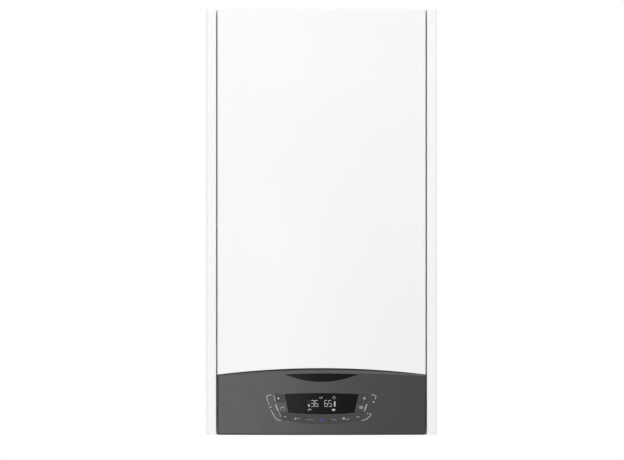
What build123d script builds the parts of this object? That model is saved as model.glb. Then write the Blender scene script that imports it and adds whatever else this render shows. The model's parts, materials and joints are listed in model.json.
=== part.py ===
from build123d import *
import math
import os

# A wall-hung combi boiler, in millimetres. +X is to the right seen from the front,
# +Y points at the wall and +Z up. The origin is the bottom centre of the wall face.
# Spans are written (low, high).

# ---- driving dimensions: casing ----
CASE_W = 400.0
CASE_H = 738.0
CASE_D = 319.0             # wall to the middle of the bowed front
FRONT_BOW = 12.0           # how far the front bulges between its sides
SHEET = 1.0                # painted steel of cover and side panels
FRAME_SHEET = 1.5          # zinc-plated steel of the frame parts
STRIP_W = 17.2             # rounded front edge of each side panel
STRIP_SET_BACK = 13.0      # strips lie this far behind the middle of the front
STRIP_R = 3.0
STRIP_INNER_R = 1.6
STRIP_DEPTH = 21.0         # strip front to the sealing flange behind the cover
SEAL_FLANGE_W = 15.0
FLANGE_SCREW_SET = 8.0     # screws this far in from the flange's free edge
SEAM_GAP = 2.0             # shadow gap round cover and control panel
PANEL_TOP_LIP = 12.0
PANEL_FOOT_LIP = 8.0

BACK_LIP = 25.0            # folded edges of the back plate
BEAD = (290.0, 18.0, 2.0)  # stiffening beads pressed into it: length, width, depth
BEAD_Z = (160.0, 100.0)    # lowest bead, spacing
BEAD_COUNT = 5
RAIL_W = 320.0             # hanging rail welded inside the back plate
RAIL_DROP = (58.0, 26.0)   # foot and top of the rail below the casing's top edge
RAIL_DEPTH = 12.5
SLOT_L = 30.0              # hanging slots
SLOT_R = 5.5
SLOT_SPACING = 260.0
LOW_HOLE_R = 4.5
LOW_HOLE_SPACING = 320.0
LOW_HOLE_Z = 80.0

TOP_RECESS = 14.0          # top plate below the casing's top edge
TOP_SHEET = 1.2
TOP_SKIRT = 24.0           # front flange of the top plate
HOOK_PIN_R = 3.0
HOOK_PIN_L = 16.0
HOOK_X = 120.0
HOOK_DROP = 12.0           # pins below the top plate

BASE_Z = 48.0              # underside of the bottom rail
BASE_SHEET = 2.0
BASE_FRONT = -210.0
BASE_LIP = 20.0

SCREW_R = 2.0
SCREW_L = 10.0
SCREW_HEAD_R = 3.5
SCREW_HEAD_H = 1.6
SCREW_CLEAR = 0.2
TOP_SCREW_X = 150.0
BASE_SCREW_X = 100.0
BASE_SCREW_RISE = 7.0      # above the bottom rail
SNUG = 0.1                 # between fitted round parts of one body
END_GAP = 1.0              # at the blind end of a shaft's bore

# ---- front cover ----
COVER_REAR_GAP = 2.0       # cover's folded edge stands off the sealing flange
CORNER_R = 3.5
EDGE_R = 2.5
SEAM_END_Z = 105.0         # lower edge of the cover at its sides
SEAM_RISE = 11.3           # and how much higher it is in the middle
PANEL_SEAM = 1.0           # gap along it, over the control panel
SHELF_Z = 119.0            # flat shelf inside the cover's lower edge
LOWER_LIP = 7.0
HOOK_TAB_W = 20.0
HOOK_TAB_SET = 6.5
HOOK_CLEAR = 0.3
COVER_SCREW_IN = 4.8       # cover screws inside the sealing flange
COVER_SCREW_SET = 9.0      # in front of the sealing flange
COVER_SCREW_HEAD = 2.0
LUG_W = 12.0
LUG_GAP = 0.3
LUG_SLOT = 5.0

# ---- control panel ----
FASCIA_Z = 0.2
FASCIA_WALL = 3.0
FASCIA_CORNER = 3.0
LIP_FRONT_Z = 107.9        # sloping top lip: height at the front, in the middle
LIP_FALL = 5.5             # and how much lower that edge is at the sides
LIP_SLOPE = 65.0
HINGE_Y = -230.0
HINGE_Z = 12.0
HINGE_PIN_R = 3.0
HINGE_CLEAR = 0.2
HINGE_REACH = 7.0          # pin beyond its bracket
BRACKET_GAP = 0.6
BRACKET_BACK = -200.0
BOX_SIDE_SET = 15.8        # control box inside the fascia's sides
BOX_WALL = 2.0
BOX_Z = (5.0, 100.0)
BOX_FRONT_SET = 19.0       # box front behind the middle of the fascia
BOX_BACK = -222.0
BOX_BLOCK = 14.0
BOX_VENTS = 9
VENT_PITCH = 24.0
BOX_BOSS_IN = 10.0
BOX_BOSS_R = 5.0
BOX_BOSS_Z = (15.0, 88.0)

LENS_TOP = (64.5, 71.1, 72.9)      # half width, corner height, height in the middle
LENS_FOOT = (57.1, 38.7, 35.9)
LENS_T = 2.2
LENS_LEDGE = 2.0
BADGE_HALF = 63.5
BADGE_Z = (92.4, 105.2, 106.8)      # lowest point, corner height, height in the middle
BADGE_T = 1.0
BADGE_PROUD = 0.3
INLAY_CLEAR = 0.15

BAND_TOP = (80.7, 71.1)            # outline of the key band, right half
BAND_CORNER = (68.5, 27.8)
BAND_FOOT = (51.2, 23.8)
BAND_MIDDLE_Z = 19.9
KEY_PROUD = 0.6
KEY_GAP = 1.6
KEY_CLEAR = 0.3
KEY_CORNER = 1.0
KEY_TRAVEL = 0.8
KEY_STEM_R = 1.6
KEY_BACK = 7.0             # back of a key cap behind the middle of the fascia
SWITCH_CLEAR = 0.1
ROW_PITCH = 20.8
PLUS_Z = (57.2, 70.2)
TILE_Z = (41.0, 55.6)
MINUS_Z = (20.0, 39.4)
ROW_KEYS = ["reset_key", "comfort_key", "power_key", "menu_key", "schedule_key"]

BOARD_SET = 16.0           # circuit board behind the middle of the fascia
BOARD_HALF = 92.0
BOARD_Z = (13.0, 87.0)
BOARD_T = 1.6
BOARD_BOSS = (87.0, 3.5)
COMPONENT_SET = (12.0, 5.0)        # components in from the board's side and foot
COMPONENT_GAP = 8.0
TRANSFORMER = (32.0, 26.0, 28.0)   # width, height off the board, height
RELAY = (18.0, 16.0, 12.0)
TERMINAL_ROW = (70.0, 12.0, 10.0)
CAPACITOR = (8.0, 22.0, 22.0)      # radius, height off the board, spacing
SWITCH = (3.0, 3.5)        # half width and height of a push switch
SWITCH_TIP = (1.7, 1.0)
MODULE_HALF = 52.0
MODULE_Z = (41.5, 68.0)
MODULE_SET = 4.6

# ---- flue ----
FLUE_Y = -140.0
FLUE_BORE = 30.3           # takes a 60 mm flue pipe
FLUE_WALL = 2.0
FLUE_BEAD = 2.5
FLUE_TOP_DROP = 5.0        # flue socket below the casing's top edge
AIR_BORE = 50.0            # takes a 100 mm air pipe
AIR_WALL = 1.7
AIR_FLANGE = 62.0
AIR_FLANGE_T = 2.0
AIR_SPIGOT = 13.0
AIR_CLEAR = 0.3
TEST_R = 3.0
TEST_CIRCLE = 57.0
TEST_H = 6.0
CAP_WALL = 1.4

# ---- condensing exchanger and burner ----
CELL_X = -55.0
CELL_DROP = 198.0          # burner axis below the casing's top edge
CELL_R = 100.0
CELL_WALL = 2.0
CELL_BACK = -100.0
CELL_L = 150.0
CELL_FLANGE = 10.0
CELL_FLANGE_T = 3.0
BAR_H = 20.0               # cross bars that carry the exchanger
BAR_OFFSET = 30.0
SPIGOT_RISE = 28.0         # flue spigot above the exchanger's drum
SPIGOT_LAP = 18.0
SPIGOT_CLEAR = 0.3
COIL_R = 7.0
COIL_TURNS = 7
COIL_PITCH = 17.0
COIL_CLEAR = 0.3
DOOR_T = 8.0
DUCT_HALF = 20.0
DUCT_DEPTH = 23.0
DUCT_WALL = 2.0
BURNER_R = 33.0
BURNER_L = 118.0
BURNER_SHEET = 1.2
BURNER_HOLE_R = 2.5
BURNER_ROWS = 7
BURNER_PITCH = 14.0
BURNER_BORES = 4           # drilled right across, at each row
NUT_R = 5.5
NUT_H = 5.0
STUD_R = 3.0
STUD_OUT = 8.0
NUT_COUNT = 6
NUT_RIM = 0.5              # flange left outside a nut
ELECTRODE_CIRCLE = 56.0
ELECTRODE_ANGLES = (205.0, 250.0)
CERAMIC_R = 4.0
CERAMIC_L = (15.0, 20.0)   # outside and inside the door
ELECTRODE_ROD = (1.2, 70.0)

# ---- fan and gas line ----
FAN_R = 58.0
FAN_GAP = 2.0              # between fan outlet and exchanger door
FAN_ARM = 61.0             # fan axis to the outer end of its outlet arm
FAN_DEPTH = 42.0
FAN_WALL = 2.0
FAN_OUT_R = 16.0
FAN_OUT_Z = 50.0
FAN_OUT_X = 45.0
FAN_MOUTH = 26.0           # outlet flange to scroll
FAN_INLET_R = 25.0
WHEEL_R = 48.0
WHEEL_HUB_R = 10.0
WHEEL_PLATE = 2.0
WHEEL_END_GAP = 4.0
WHEEL_BLADES = 20
BLADE_T = 1.2
BLADE_L = 24.0
BLADE_SET = 0.5            # blades inside the rims of their wheel
SHAFT_R = 4.0
SHAFT_CLEAR = 0.3
MOTOR_R = 38.0
MOTOR_L = 34.0
MOTOR_BORE = 24.0
PLUG = (14.0, 16.0)        # depth and size of an electrical plug
MIXER_L = 38.0
MIXER_R = 23.0
MIXER_FLANGE = (30.0, 4.0)
MIXER_BORE = 15.0
MIXER_THROAT = 10.0
GAS_Y = -168.0
GAS_R = 8.0
GAS_WALL = 1.0
GAS_PORT_R = 11.0
GAS_PORT_L = 6.0
GAS_BEND = 20.0
GAS_CROSS_Z = (250.0, 275.0)       # where the gas pipe crosses to the valve
VALVE_SIZE = (60.0, 63.0, 80.0)
VALVE_Z = 335.0
VALVE_FRONT = -188.0
COIL_CAN = (13.0, 16.0)
AIR_TUBE_R = 18.0
AIR_TUBE_WALL = 1.5
AIR_TUBE_BEND = 24.0
AIR_TUBE_REACH = 26.0
AIR_TUBE_DROP = 48.0

# ---- expansion vessel ----
VESSEL_R = 175.0
VESSEL_T = 70.0
VESSEL_WALL = 1.5
VESSEL_ROUND = 20.0
VESSEL_SEAM = (2.0, 4.0)
VESSEL_PORT = (60.0, -40.0)
VESSEL_PORT_L = 30.0
PORT_R = 8.0
HOSE_R = 5.0
HOSE_BEND = 20.0

# ---- hydraulics ----
PIPE_Y = -130.0            # line of the five connections
PITCH = 67.0               # spacing of the connections
WIDE_R = 13.2              # 3/4 inch thread
NARROW_R = 10.5            # 1/2 inch thread
TAIL_FOOT = 6.0
TAIL_WALL = 3.0
TAIL_CLEAR = 0.3
HEX_H = 8.0
HEX_EXTRA = 4.8
BARREL_R = 19.0
BARREL_SLIM = 15.0
BARREL_BORE = 12.0
SLIM_BORE = 10.0
BRIDGE_Z = (150.0, 182.0)
BRIDGE_FRONT = -148.0
BRIDGE_LAP = 11.0
PLATES_HALF = 95.0
PLATES_Z = (150.0, 225.0)
PLATES_Y = (-110.0, -50.0)
PLATES = 20
PLATE_GROOVE = 0.8
PLATE_SHARE = 0.7          # of each step filled by the plate's rim
PLATES_CORNER = 14.0
PIPE_R = 9.0
PIPE_WALL = 1.0
PIPE_BEND = 25.0
PIPE_LEAD = 37.5           # straight rise before a pipe crosses over
RISER_R = 12.0
RISER_TOP = 262.0
STUB_DROP = 112.0          # pipe stubs end this far below the burner axis
FLOW_RISER_X = -88.0
FLOW_PORT_X = -112.0
RETURN_RISER_X = 84.0
RETURN_PORT_X = -15.0

PUMP_X = 112.0
PUMP_Z = 205.0
VOLUTE_R = 45.0
VOLUTE_FRONT = -165.0
CHAMBER_R = 36.0
CHAMBER_L = 40.0
CAN_R = 42.0
CAN_L = 78.0
ROTOR_CAVITY = (21.0, 73.0)
ROTOR_CLEAR = 0.4
ROTOR_MAGNET = (58.0, 9.0)
PUMP_WHEEL_R = 32.0
PUMP_WHEEL_T = 2.0
PUMP_WHEEL_GAP = 10.0
PUMP_BLADES = 7
TERMINAL = (30.0, 20.0)    # width of the pump's terminal box, height above its can
VENT_X = 150.0
VENT_Y = -138.0
VENT_BOSS = (9.0, 252.0)
VENT_R = 14.0
VENT_H = 46.0
VENT_CAP = (9.0, 12.0)
HOSE_BOSS = (9.0, 120.0, -95.0)

TURBINE_Z = 86.0
TURBINE_H = 12.0
TURBINE_CLEAR = 0.4
TURBINE_HUB = 3.0
TURBINE_BLADES = 5

ACTUATOR_R = 21.0
ACTUATOR_H = 46.0
ACTUATOR_BORE_H = 38.0
DIVERTER_TOP = 232.0
STEM_R = 3.0
STEM_CLEAR = 0.4
STEM_TRAVEL = 8.0
PLUG_T = 6.0
PLUG_Z = (130.0, 190.0)

RELIEF_Z = 130.0
RELIEF_BOSS_R = 10.0
RELIEF_R = 12.0
RELIEF_L = 35.0
RELIEF_BONNET = (9.0, 6.0)
RELIEF_OUT_R = 8.0
RELIEF_END = (7.5, 22.0)   # outlet nozzle: radius and length
RELIEF_OUT_SET = 13.0
RELIEF_OUT_FOOT = 25.0
RELIEF_KNOB = (13.0, 15.0)
RELIEF_STEM = (2.0, 16.0)
KNOB_GAP = 0.5
KNOB_FLUTES = 8
FLUTE_R = 2.0

FILL_Z = 90.0
FILL_R = 8.0
FILL_BODY = (10.0, 62.0, 100.0)
FILL_STEM_TOP = 78.0
FILL_KNOB = (11.0, 12.0, 30.0)
FILL_WING = 7.0

TRAP_Y = -190.0
TRAP_R = 28.0
TRAP_Z = (120.0, 300.0)
TRAP_WALL = 2.0
TRAP_CAP = 6.0
TRAP_OUT_R = 11.0
TRAP_END = (10.0, 30.0)    # drain nozzle: radius and length
TRAP_OUT_FOOT = 15.0
DRAIN_R = 9.0
DRAIN_DROP = 115.0

CABLE_R = 3.0
CABLE_BEND = 22.0
CABLE_CLIP_Z = (116.0, 124.0)
CABLE_Y = -215.0
CABLE_STEP = 7.0
CABLE_SLANT = 40.0         # how far a cable climbs while it crosses over
CLIP_W = 28.0
CLIP_D = 20.0

# ---- worked out from the above ----
HALF_W = CASE_W / 2
PANEL_IN = HALF_W - SHEET
STRIP_IN = HALF_W - STRIP_W
COVER_HALF = STRIP_IN - SEAM_GAP
FRONT_Y = -CASE_D
BOW_R = (COVER_HALF ** 2 + FRONT_BOW ** 2) / (2 * FRONT_BOW)
STRIP_FRONT = FRONT_Y + STRIP_SET_BACK
FLANGE_FRONT = STRIP_FRONT + STRIP_DEPTH
FLANGE_BACK = FLANGE_FRONT + SHEET
FLANGE_IN = STRIP_IN + SHEET - SEAL_FLANGE_W
FLANGE_SCREW_X = FLANGE_IN + FLANGE_SCREW_SET
COVER_SCREW_X = FLANGE_IN - COVER_SCREW_IN
COVER_BACK = FLANGE_FRONT - COVER_REAR_GAP
TOP_Z = CASE_H - TOP_RECESS
TOP_FACE = TOP_Z + TOP_SHEET
PIN_Z = TOP_Z - HOOK_DROP
BASE_TOP = BASE_Z + BASE_SHEET
BASE_SCREW_Z = BASE_TOP + BASE_SCREW_RISE
RAIL_FRONT = -FRAME_SHEET - RAIL_DEPTH
RAIL_Z = (CASE_H - RAIL_DROP[0], CASE_H - RAIL_DROP[1])
LIP_END = -FRAME_SHEET - BACK_LIP
SEAM_R = (COVER_HALF ** 2 + SEAM_RISE ** 2) / (2 * SEAM_RISE)
SEAM_CENTRE_Z = SEAM_END_Z + SEAM_RISE - SEAM_R
COVER_SCREW_Y = FLANGE_FRONT - COVER_SCREW_SET
BOX_FRONT = FRONT_Y + BOX_FRONT_SET
BOX_HALF = COVER_HALF - BOX_SIDE_SET
BOX_BOSS_X = BOX_HALF - BOX_BOSS_IN
BOARD_Y = FRONT_Y + BOARD_SET
FLUE_TOP = CASE_H - FLUE_TOP_DROP
CELL_FRONT = CELL_BACK - CELL_L
CELL_Z = CASE_H - CELL_DROP
SPIGOT_TOP = CELL_Z + CELL_R + SPIGOT_RISE
STUB_FOOT = CELL_Z - STUB_DROP
DRAIN_FOOT = CELL_Z - DRAIN_DROP
AIR_TUBE_TOP = CASE_H - AIR_TUBE_DROP
DOOR_R = CELL_R + CELL_FLANGE
DOOR_FRONT = CELL_FRONT - DOOR_T
DUCT_FRONT = DOOR_FRONT - DUCT_DEPTH
NUT_CIRCLE = DOOR_R - NUT_R - NUT_RIM
COIL_HELIX = CELL_R - CELL_WALL - COIL_CLEAR - COIL_R
FAN_X = CELL_X + DOOR_R + FAN_GAP + FAN_ARM
FAN_FRONT = DOOR_FRONT + FAN_MOUTH
FAN_BACK = FAN_FRONT + FAN_DEPTH
OUTLET = (FAN_X - FAN_OUT_X, CELL_Z + FAN_OUT_Z)
DUCT_SLOPE = math.degrees(math.atan2(FAN_OUT_Z, OUTLET[0] - CELL_X))
MIXER_BACK = FAN_BACK + MIXER_L
VALVE_TOP = VALVE_Z + VALVE_SIZE[2]
VALVE_BACK = VALVE_FRONT + VALVE_SIZE[1]
VALVE_SIDE = FAN_X + VALVE_SIZE[0] / 2
MIXER_PORT_Z = CELL_Z - MIXER_R - 2 * GAS_PORT_L
VESSEL_BACK = RAIL_FRONT
VESSEL_FRONT = VESSEL_BACK - VESSEL_T
VESSEL_PORT_Z = CELL_Z - math.sqrt(VESSEL_R ** 2 - VESSEL_PORT[0] ** 2) - VESSEL_PORT_L
TAILS = [(-2 * PITCH, WIDE_R), (-PITCH, NARROW_R), (0.0, WIDE_R), (PITCH, NARROW_R), (2 * PITCH, WIDE_R)]
RETURN_X = 2 * PITCH
COLD_X = PITCH
FILL_X = (COLD_X + BARREL_SLIM + RETURN_X - BARREL_R) / 2
CAN_FRONT = VOLUTE_FRONT - CAN_L
RELIEF_FRONT = VOLUTE_FRONT - RELIEF_L
RELIEF_OUT_Y = VOLUTE_FRONT - RELIEF_OUT_SET
CABLE_X = PANEL_IN - CABLE_STEP


# ---- shapes ----
def block(x, y, z):
    spans = (x, y, z)
    return Pos(*[(low + high) / 2 for low, high in spans]) * Box(*[high - low for low, high in spans])


def rod_x(y, z, span, radius):
    return Pos(sum(span) / 2, y, z) * Rot(0, 90, 0) * Cylinder(radius, span[1] - span[0])


def rod_y(x, z, span, radius):
    return Pos(x, sum(span) / 2, z) * Rot(90, 0, 0) * Cylinder(radius, span[1] - span[0])


def rod_z(x, y, span, radius):
    return Pos(x, y, sum(span) / 2) * Cylinder(radius, span[1] - span[0])


def mirrored(shape):
    return mirror(shape, about=Plane.YZ)


def group(pieces):
    """separate solids that share one node"""
    return Compound([solid for piece in pieces for solid in piece.solids()])


def prism(outline, y):
    """an outline drawn in the front view, between two depths"""
    return extrude(Plane.XZ.offset(-y[1]) * outline, y[1] - y[0], dir=(0, -1, 0))


def pipe(points, bend, radius, wall):
    path = FilletPolyline(*points, radius=bend)
    section = Circle(radius) - Circle(radius - wall) if wall else Circle(radius)
    return sweep(Plane(origin=path @ 0, z_dir=path % 0) * section, path=path)


def bow_y(x, inset=0.0):
    """depth of the bowed front, or of a surface inset behind it"""
    return FRONT_Y + BOW_R - math.sqrt((BOW_R - inset) ** 2 - x * x)


def bowed_block(half, inset, back, z, corner):
    edge = bow_y(half, inset)
    front = ThreePointArc((-half, edge), (0, bow_y(0, inset)), (half, edge))
    sides = Polyline((half, edge), (half, back), (-half, back), (-half, edge))
    plan = make_face([front, sides])
    plan = fillet(plan.vertices().sort_by(Axis.Y)[:2], corner)
    return Pos(0, 0, z[0]) * extrude(plan, z[1] - z[0], dir=(0, 0, 1))


def front_skin(proud, inset):
    """the layer of the bowed front between two insets"""
    tall = (0.0, CASE_H)
    outer = bowed_block(COVER_HALF, -proud, COVER_BACK, tall, CORNER_R)
    return outer - bowed_block(COVER_HALF + CORNER_R, inset, COVER_BACK, tall, CORNER_R)


def under_seam(drop):
    """everything below the curved seam between cover and control panel"""
    return rod_y(0, SEAM_CENTRE_Z, (2 * FRONT_Y, 0), SEAM_R - drop)


def rounded(outline, radius):
    """an outline with its outer corners rounded"""
    return offset(offset(outline, -radius, kind=Kind.INTERSECTION), radius, kind=Kind.ARC)


# ---- casing ----
def back_frame():
    plate = block((-PANEL_IN, PANEL_IN), (-FRAME_SHEET, 0), (0, CASE_H))
    for side in (-1, 1):
        wall = sorted((side * PANEL_IN, side * (PANEL_IN - FRAME_SHEET)))
        leg = sorted((side * (PANEL_IN - FRAME_SHEET), side * (PANEL_IN - 2 * FRAME_SHEET)))
        plate += block(wall, (LIP_END, -FRAME_SHEET), (0, TOP_Z))
        for z in (CELL_Z - BAR_OFFSET, CELL_Z + BAR_OFFSET):
            plate += block(leg, (CELL_BACK, -FRAME_SHEET), (z - BAR_H / 2, z + BAR_H / 2))
    inner = PANEL_IN - FRAME_SHEET
    plate += block((-inner, inner), (LIP_END, -FRAME_SHEET), (TOP_Z - FRAME_SHEET, TOP_Z))
    plate += block((-inner, inner), (LIP_END, -FRAME_SHEET), (0, FRAME_SHEET))
    for z in (CELL_Z - BAR_OFFSET, CELL_Z + BAR_OFFSET):
        bar = (CELL_BACK, CELL_BACK + FRAME_SHEET)
        plate += block((-inner, inner), bar, (z - BAR_H / 2, z + BAR_H / 2))
    length, width, depth = BEAD
    for index in range(BEAD_COUNT):
        at = Pos(0, BEAD_Z[0] + index * BEAD_Z[1])
        plate += prism(at * SlotOverall(length, width), (-FRAME_SHEET - depth, -FRAME_SHEET))
        hollow = SlotOverall(length - 2 * FRAME_SHEET, width - 2 * FRAME_SHEET)
        plate -= prism(at * hollow, (-depth, 0))
    half = RAIL_W / 2
    rail = block((-half, half), (RAIL_FRONT, -FRAME_SHEET), RAIL_Z)
    hollow = (RAIL_Z[0] + FRAME_SHEET, RAIL_Z[1] - FRAME_SHEET)
    plate += rail - block((-half, half), (RAIL_FRONT + FRAME_SHEET, -FRAME_SHEET), hollow)
    slot = SlotOverall(SLOT_L, 2 * SLOT_R)
    for x in (-SLOT_SPACING / 2, SLOT_SPACING / 2):
        plate -= prism(Pos(x, sum(RAIL_Z) / 2) * slot, (-FRAME_SHEET, 0))
    for x in (-LOW_HOLE_SPACING / 2, LOW_HOLE_SPACING / 2):
        plate -= rod_y(x, LOW_HOLE_Z, (-FRAME_SHEET, 0), LOW_HOLE_R)
    hole = SCREW_R + SCREW_CLEAR
    for x in (-TOP_SCREW_X, TOP_SCREW_X):
        plate -= rod_z(x, RAIL_FRONT, (TOP_Z - FRAME_SHEET, TOP_Z), hole)
    for x in (-BASE_SCREW_X, BASE_SCREW_X):
        plate -= rod_y(x, BASE_SCREW_Z, (-FRAME_SHEET, 0), hole)
    return plate


def side_panel():
    """the right-hand panel: outer wall, rounded strip, sealing flange and lug"""
    front = Pos((HALF_W + STRIP_IN) / 2, STRIP_FRONT / 2) * Rectangle(STRIP_W, -STRIP_FRONT)
    corners = front.vertices().sort_by(Axis.Y)[:2].sort_by(Axis.X)
    front = fillet(corners[1], STRIP_R)
    front = fillet(front.vertices().group_by(Axis.Y)[0].sort_by(Axis.X)[0], STRIP_INNER_R)
    inner_w = STRIP_W - 2 * SHEET
    inner_l = -STRIP_FRONT - SHEET
    hollow = Pos((PANEL_IN + STRIP_IN + SHEET) / 2, -inner_l / 2) * Rectangle(inner_w, inner_l)
    corners = hollow.vertices().sort_by(Axis.Y)[:2].sort_by(Axis.X)
    hollow = fillet(corners[1], STRIP_R - SHEET)
    hollow = fillet(hollow.vertices().group_by(Axis.Y)[0].sort_by(Axis.X)[0], STRIP_INNER_R - SHEET)
    panel = extrude(front - hollow, CASE_H)
    panel -= block((STRIP_IN, STRIP_IN + SHEET), (FLANGE_BACK, 0), (0, CASE_H))
    panel += block((FLANGE_IN, STRIP_IN + SHEET), (FLANGE_FRONT, FLANGE_BACK), (0, CASE_H))
    strip = extrude(hollow, SHEET) & block((STRIP_IN, HALF_W), (STRIP_FRONT, FLANGE_BACK), (0, SHEET))
    panel += strip
    panel += Pos(0, 0, CASE_H - SHEET) * strip
    top = (CASE_H - SHEET, CASE_H)
    panel += block((PANEL_IN - PANEL_TOP_LIP, PANEL_IN), (FLANGE_BACK, -FRAME_SHEET), top)
    panel += block((PANEL_IN - PANEL_FOOT_LIP, PANEL_IN), (FLANGE_BACK, LIP_END), (0, SHEET))
    lug_z = (SHELF_Z + SHEET + LUG_GAP, SHELF_Z + SHEET + LUG_GAP + FRAME_SHEET)
    lug_x = (COVER_SCREW_X - LUG_W / 2, FLANGE_IN + SHEET)
    lug_front = COVER_SCREW_Y - LUG_SLOT
    panel += block(lug_x, (lug_front, FLANGE_FRONT), lug_z)
    slot_x = (COVER_SCREW_X - LUG_SLOT / 2, COVER_SCREW_X + LUG_SLOT / 2)
    panel -= block(slot_x, (lug_front, COVER_SCREW_Y), lug_z)
    panel -= rod_z(COVER_SCREW_X, COVER_SCREW_Y, lug_z, LUG_SLOT / 2)
    panel -= rod_y(FLANGE_SCREW_X, PIN_Z, (FLANGE_FRONT, FLANGE_BACK), SCREW_R + SCREW_CLEAR)
    return panel


def top_panel():
    plate = block((-PANEL_IN, PANEL_IN), (FLANGE_BACK, -FRAME_SHEET), (TOP_Z, TOP_FACE))
    upstand = (TOP_FACE, CASE_H - SHEET)
    for side in (-1, 1):
        wall = sorted((side * PANEL_IN, side * (PANEL_IN - TOP_SHEET)))
        plate += block(wall, (FLANGE_BACK, -FRAME_SHEET), upstand)
    skirt = (FLANGE_BACK, FLANGE_BACK + TOP_SHEET)
    across = (-STRIP_IN, STRIP_IN)
    plate += block(across, skirt, (TOP_Z - TOP_SKIRT, CASE_H - SHEET))
    plate += block(across, (-FRAME_SHEET - TOP_SHEET, -FRAME_SHEET), upstand)
    plate -= rod_z(0, FLUE_Y, (TOP_Z, TOP_FACE), AIR_BORE + AIR_WALL + AIR_CLEAR)
    hole = SCREW_R + SCREW_CLEAR
    for side in (-1, 1):
        plate += rod_y(side * HOOK_X, PIN_Z, (FLANGE_BACK - HOOK_PIN_L, FLANGE_BACK), HOOK_PIN_R)
        plate -= rod_z(side * TOP_SCREW_X, RAIL_FRONT, (TOP_Z, TOP_FACE), hole)
        plate -= rod_y(side * FLANGE_SCREW_X, PIN_Z, skirt, hole)
    return plate


def bottom_rail():
    rail = block((-PANEL_IN, PANEL_IN), (BASE_FRONT, LIP_END), (BASE_Z, BASE_TOP))
    inner = PANEL_IN - FRAME_SHEET
    rail += block((-inner, inner), (LIP_END, -FRAME_SHEET), (BASE_Z, BASE_TOP))
    for side in (-1, 1):
        wall = sorted((side * PANEL_IN, side * (PANEL_IN - BASE_SHEET)))
        rail += block(wall, (BASE_FRONT, LIP_END), (BASE_TOP, BASE_TOP + BASE_LIP))
    rear = (-FRAME_SHEET - BASE_SHEET, -FRAME_SHEET)
    rail += block((-inner, inner), rear, (BASE_TOP, BASE_TOP + BASE_LIP))
    front_half = BOX_HALF - LUG_W
    front = (BASE_FRONT, BASE_FRONT + BASE_SHEET)
    rail += block((-front_half, front_half), front, (BASE_Z - BASE_LIP, BASE_Z))
    through = (BASE_Z, BASE_TOP)
    for x, radius in TAILS:
        rail -= rod_z(x, PIPE_Y, through, radius + TAIL_CLEAR)
    rail -= rod_z(FILL_X, PIPE_Y, through, STEM_R + STEM_CLEAR)
    rail -= rod_z(RETURN_X, RELIEF_OUT_Y, through, RELIEF_OUT_R + TAIL_CLEAR)
    rail -= rod_z(CELL_X, TRAP_Y, through, TRAP_OUT_R + TAIL_CLEAR)
    for x in (-BASE_SCREW_X, BASE_SCREW_X):
        rail -= rod_y(x, BASE_SCREW_Z, rear, SCREW_R + SCREW_CLEAR)
    return rail


def hinge_bracket():
    """the right-hand bracket and its pin"""
    inner = BOX_HALF + BRACKET_GAP
    outer = inner + FRAME_SHEET
    front = HINGE_Y - BOX_BLOCK / 2
    plate = block((inner, outer), (front, BRACKET_BACK), (HINGE_Z, BASE_Z))
    plate += rod_x(HINGE_Y, HINGE_Z, (inner, outer), BOX_BLOCK / 2)
    plate += block((outer, outer + BASE_LIP), (BASE_FRONT, BRACKET_BACK), (BASE_Z - FRAME_SHEET, BASE_Z))
    plate += rod_x(HINGE_Y, HINGE_Z, (inner - HINGE_REACH, outer), HINGE_PIN_R)
    return plate + rod_x(HINGE_Y, HINGE_Z, (outer, outer + FRAME_SHEET), HINGE_PIN_R + FRAME_SHEET)


def casing_screws():
    screws = []
    for side in (-1, 1):
        x = side * TOP_SCREW_X
        shank = rod_z(x, RAIL_FRONT, (TOP_Z - SCREW_L, TOP_FACE), SCREW_R)
        screws.append(shank + rod_z(x, RAIL_FRONT, (TOP_FACE, TOP_FACE + SCREW_HEAD_H), SCREW_HEAD_R))
        x = side * FLANGE_SCREW_X
        shank = rod_y(x, PIN_Z, (FLANGE_FRONT, FLANGE_FRONT + SCREW_L), SCREW_R)
        screws.append(shank + rod_y(x, PIN_Z, (FLANGE_FRONT - SCREW_HEAD_H, FLANGE_FRONT), SCREW_HEAD_R))
        x = side * BASE_SCREW_X
        face = -FRAME_SHEET - BASE_SHEET
        shank = rod_y(x, BASE_SCREW_Z, (face, 0), SCREW_R)
        screws.append(shank + rod_y(x, BASE_SCREW_Z, (face - SCREW_HEAD_H, face), SCREW_HEAD_R))
    return group(screws)


# ---- front cover ----
def top_front(form, back):
    """the edges round the front of a form's top face"""
    return [edge for edge in form.edges().group_by(Axis.Z)[-1] if edge.center().Y < back]


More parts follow.
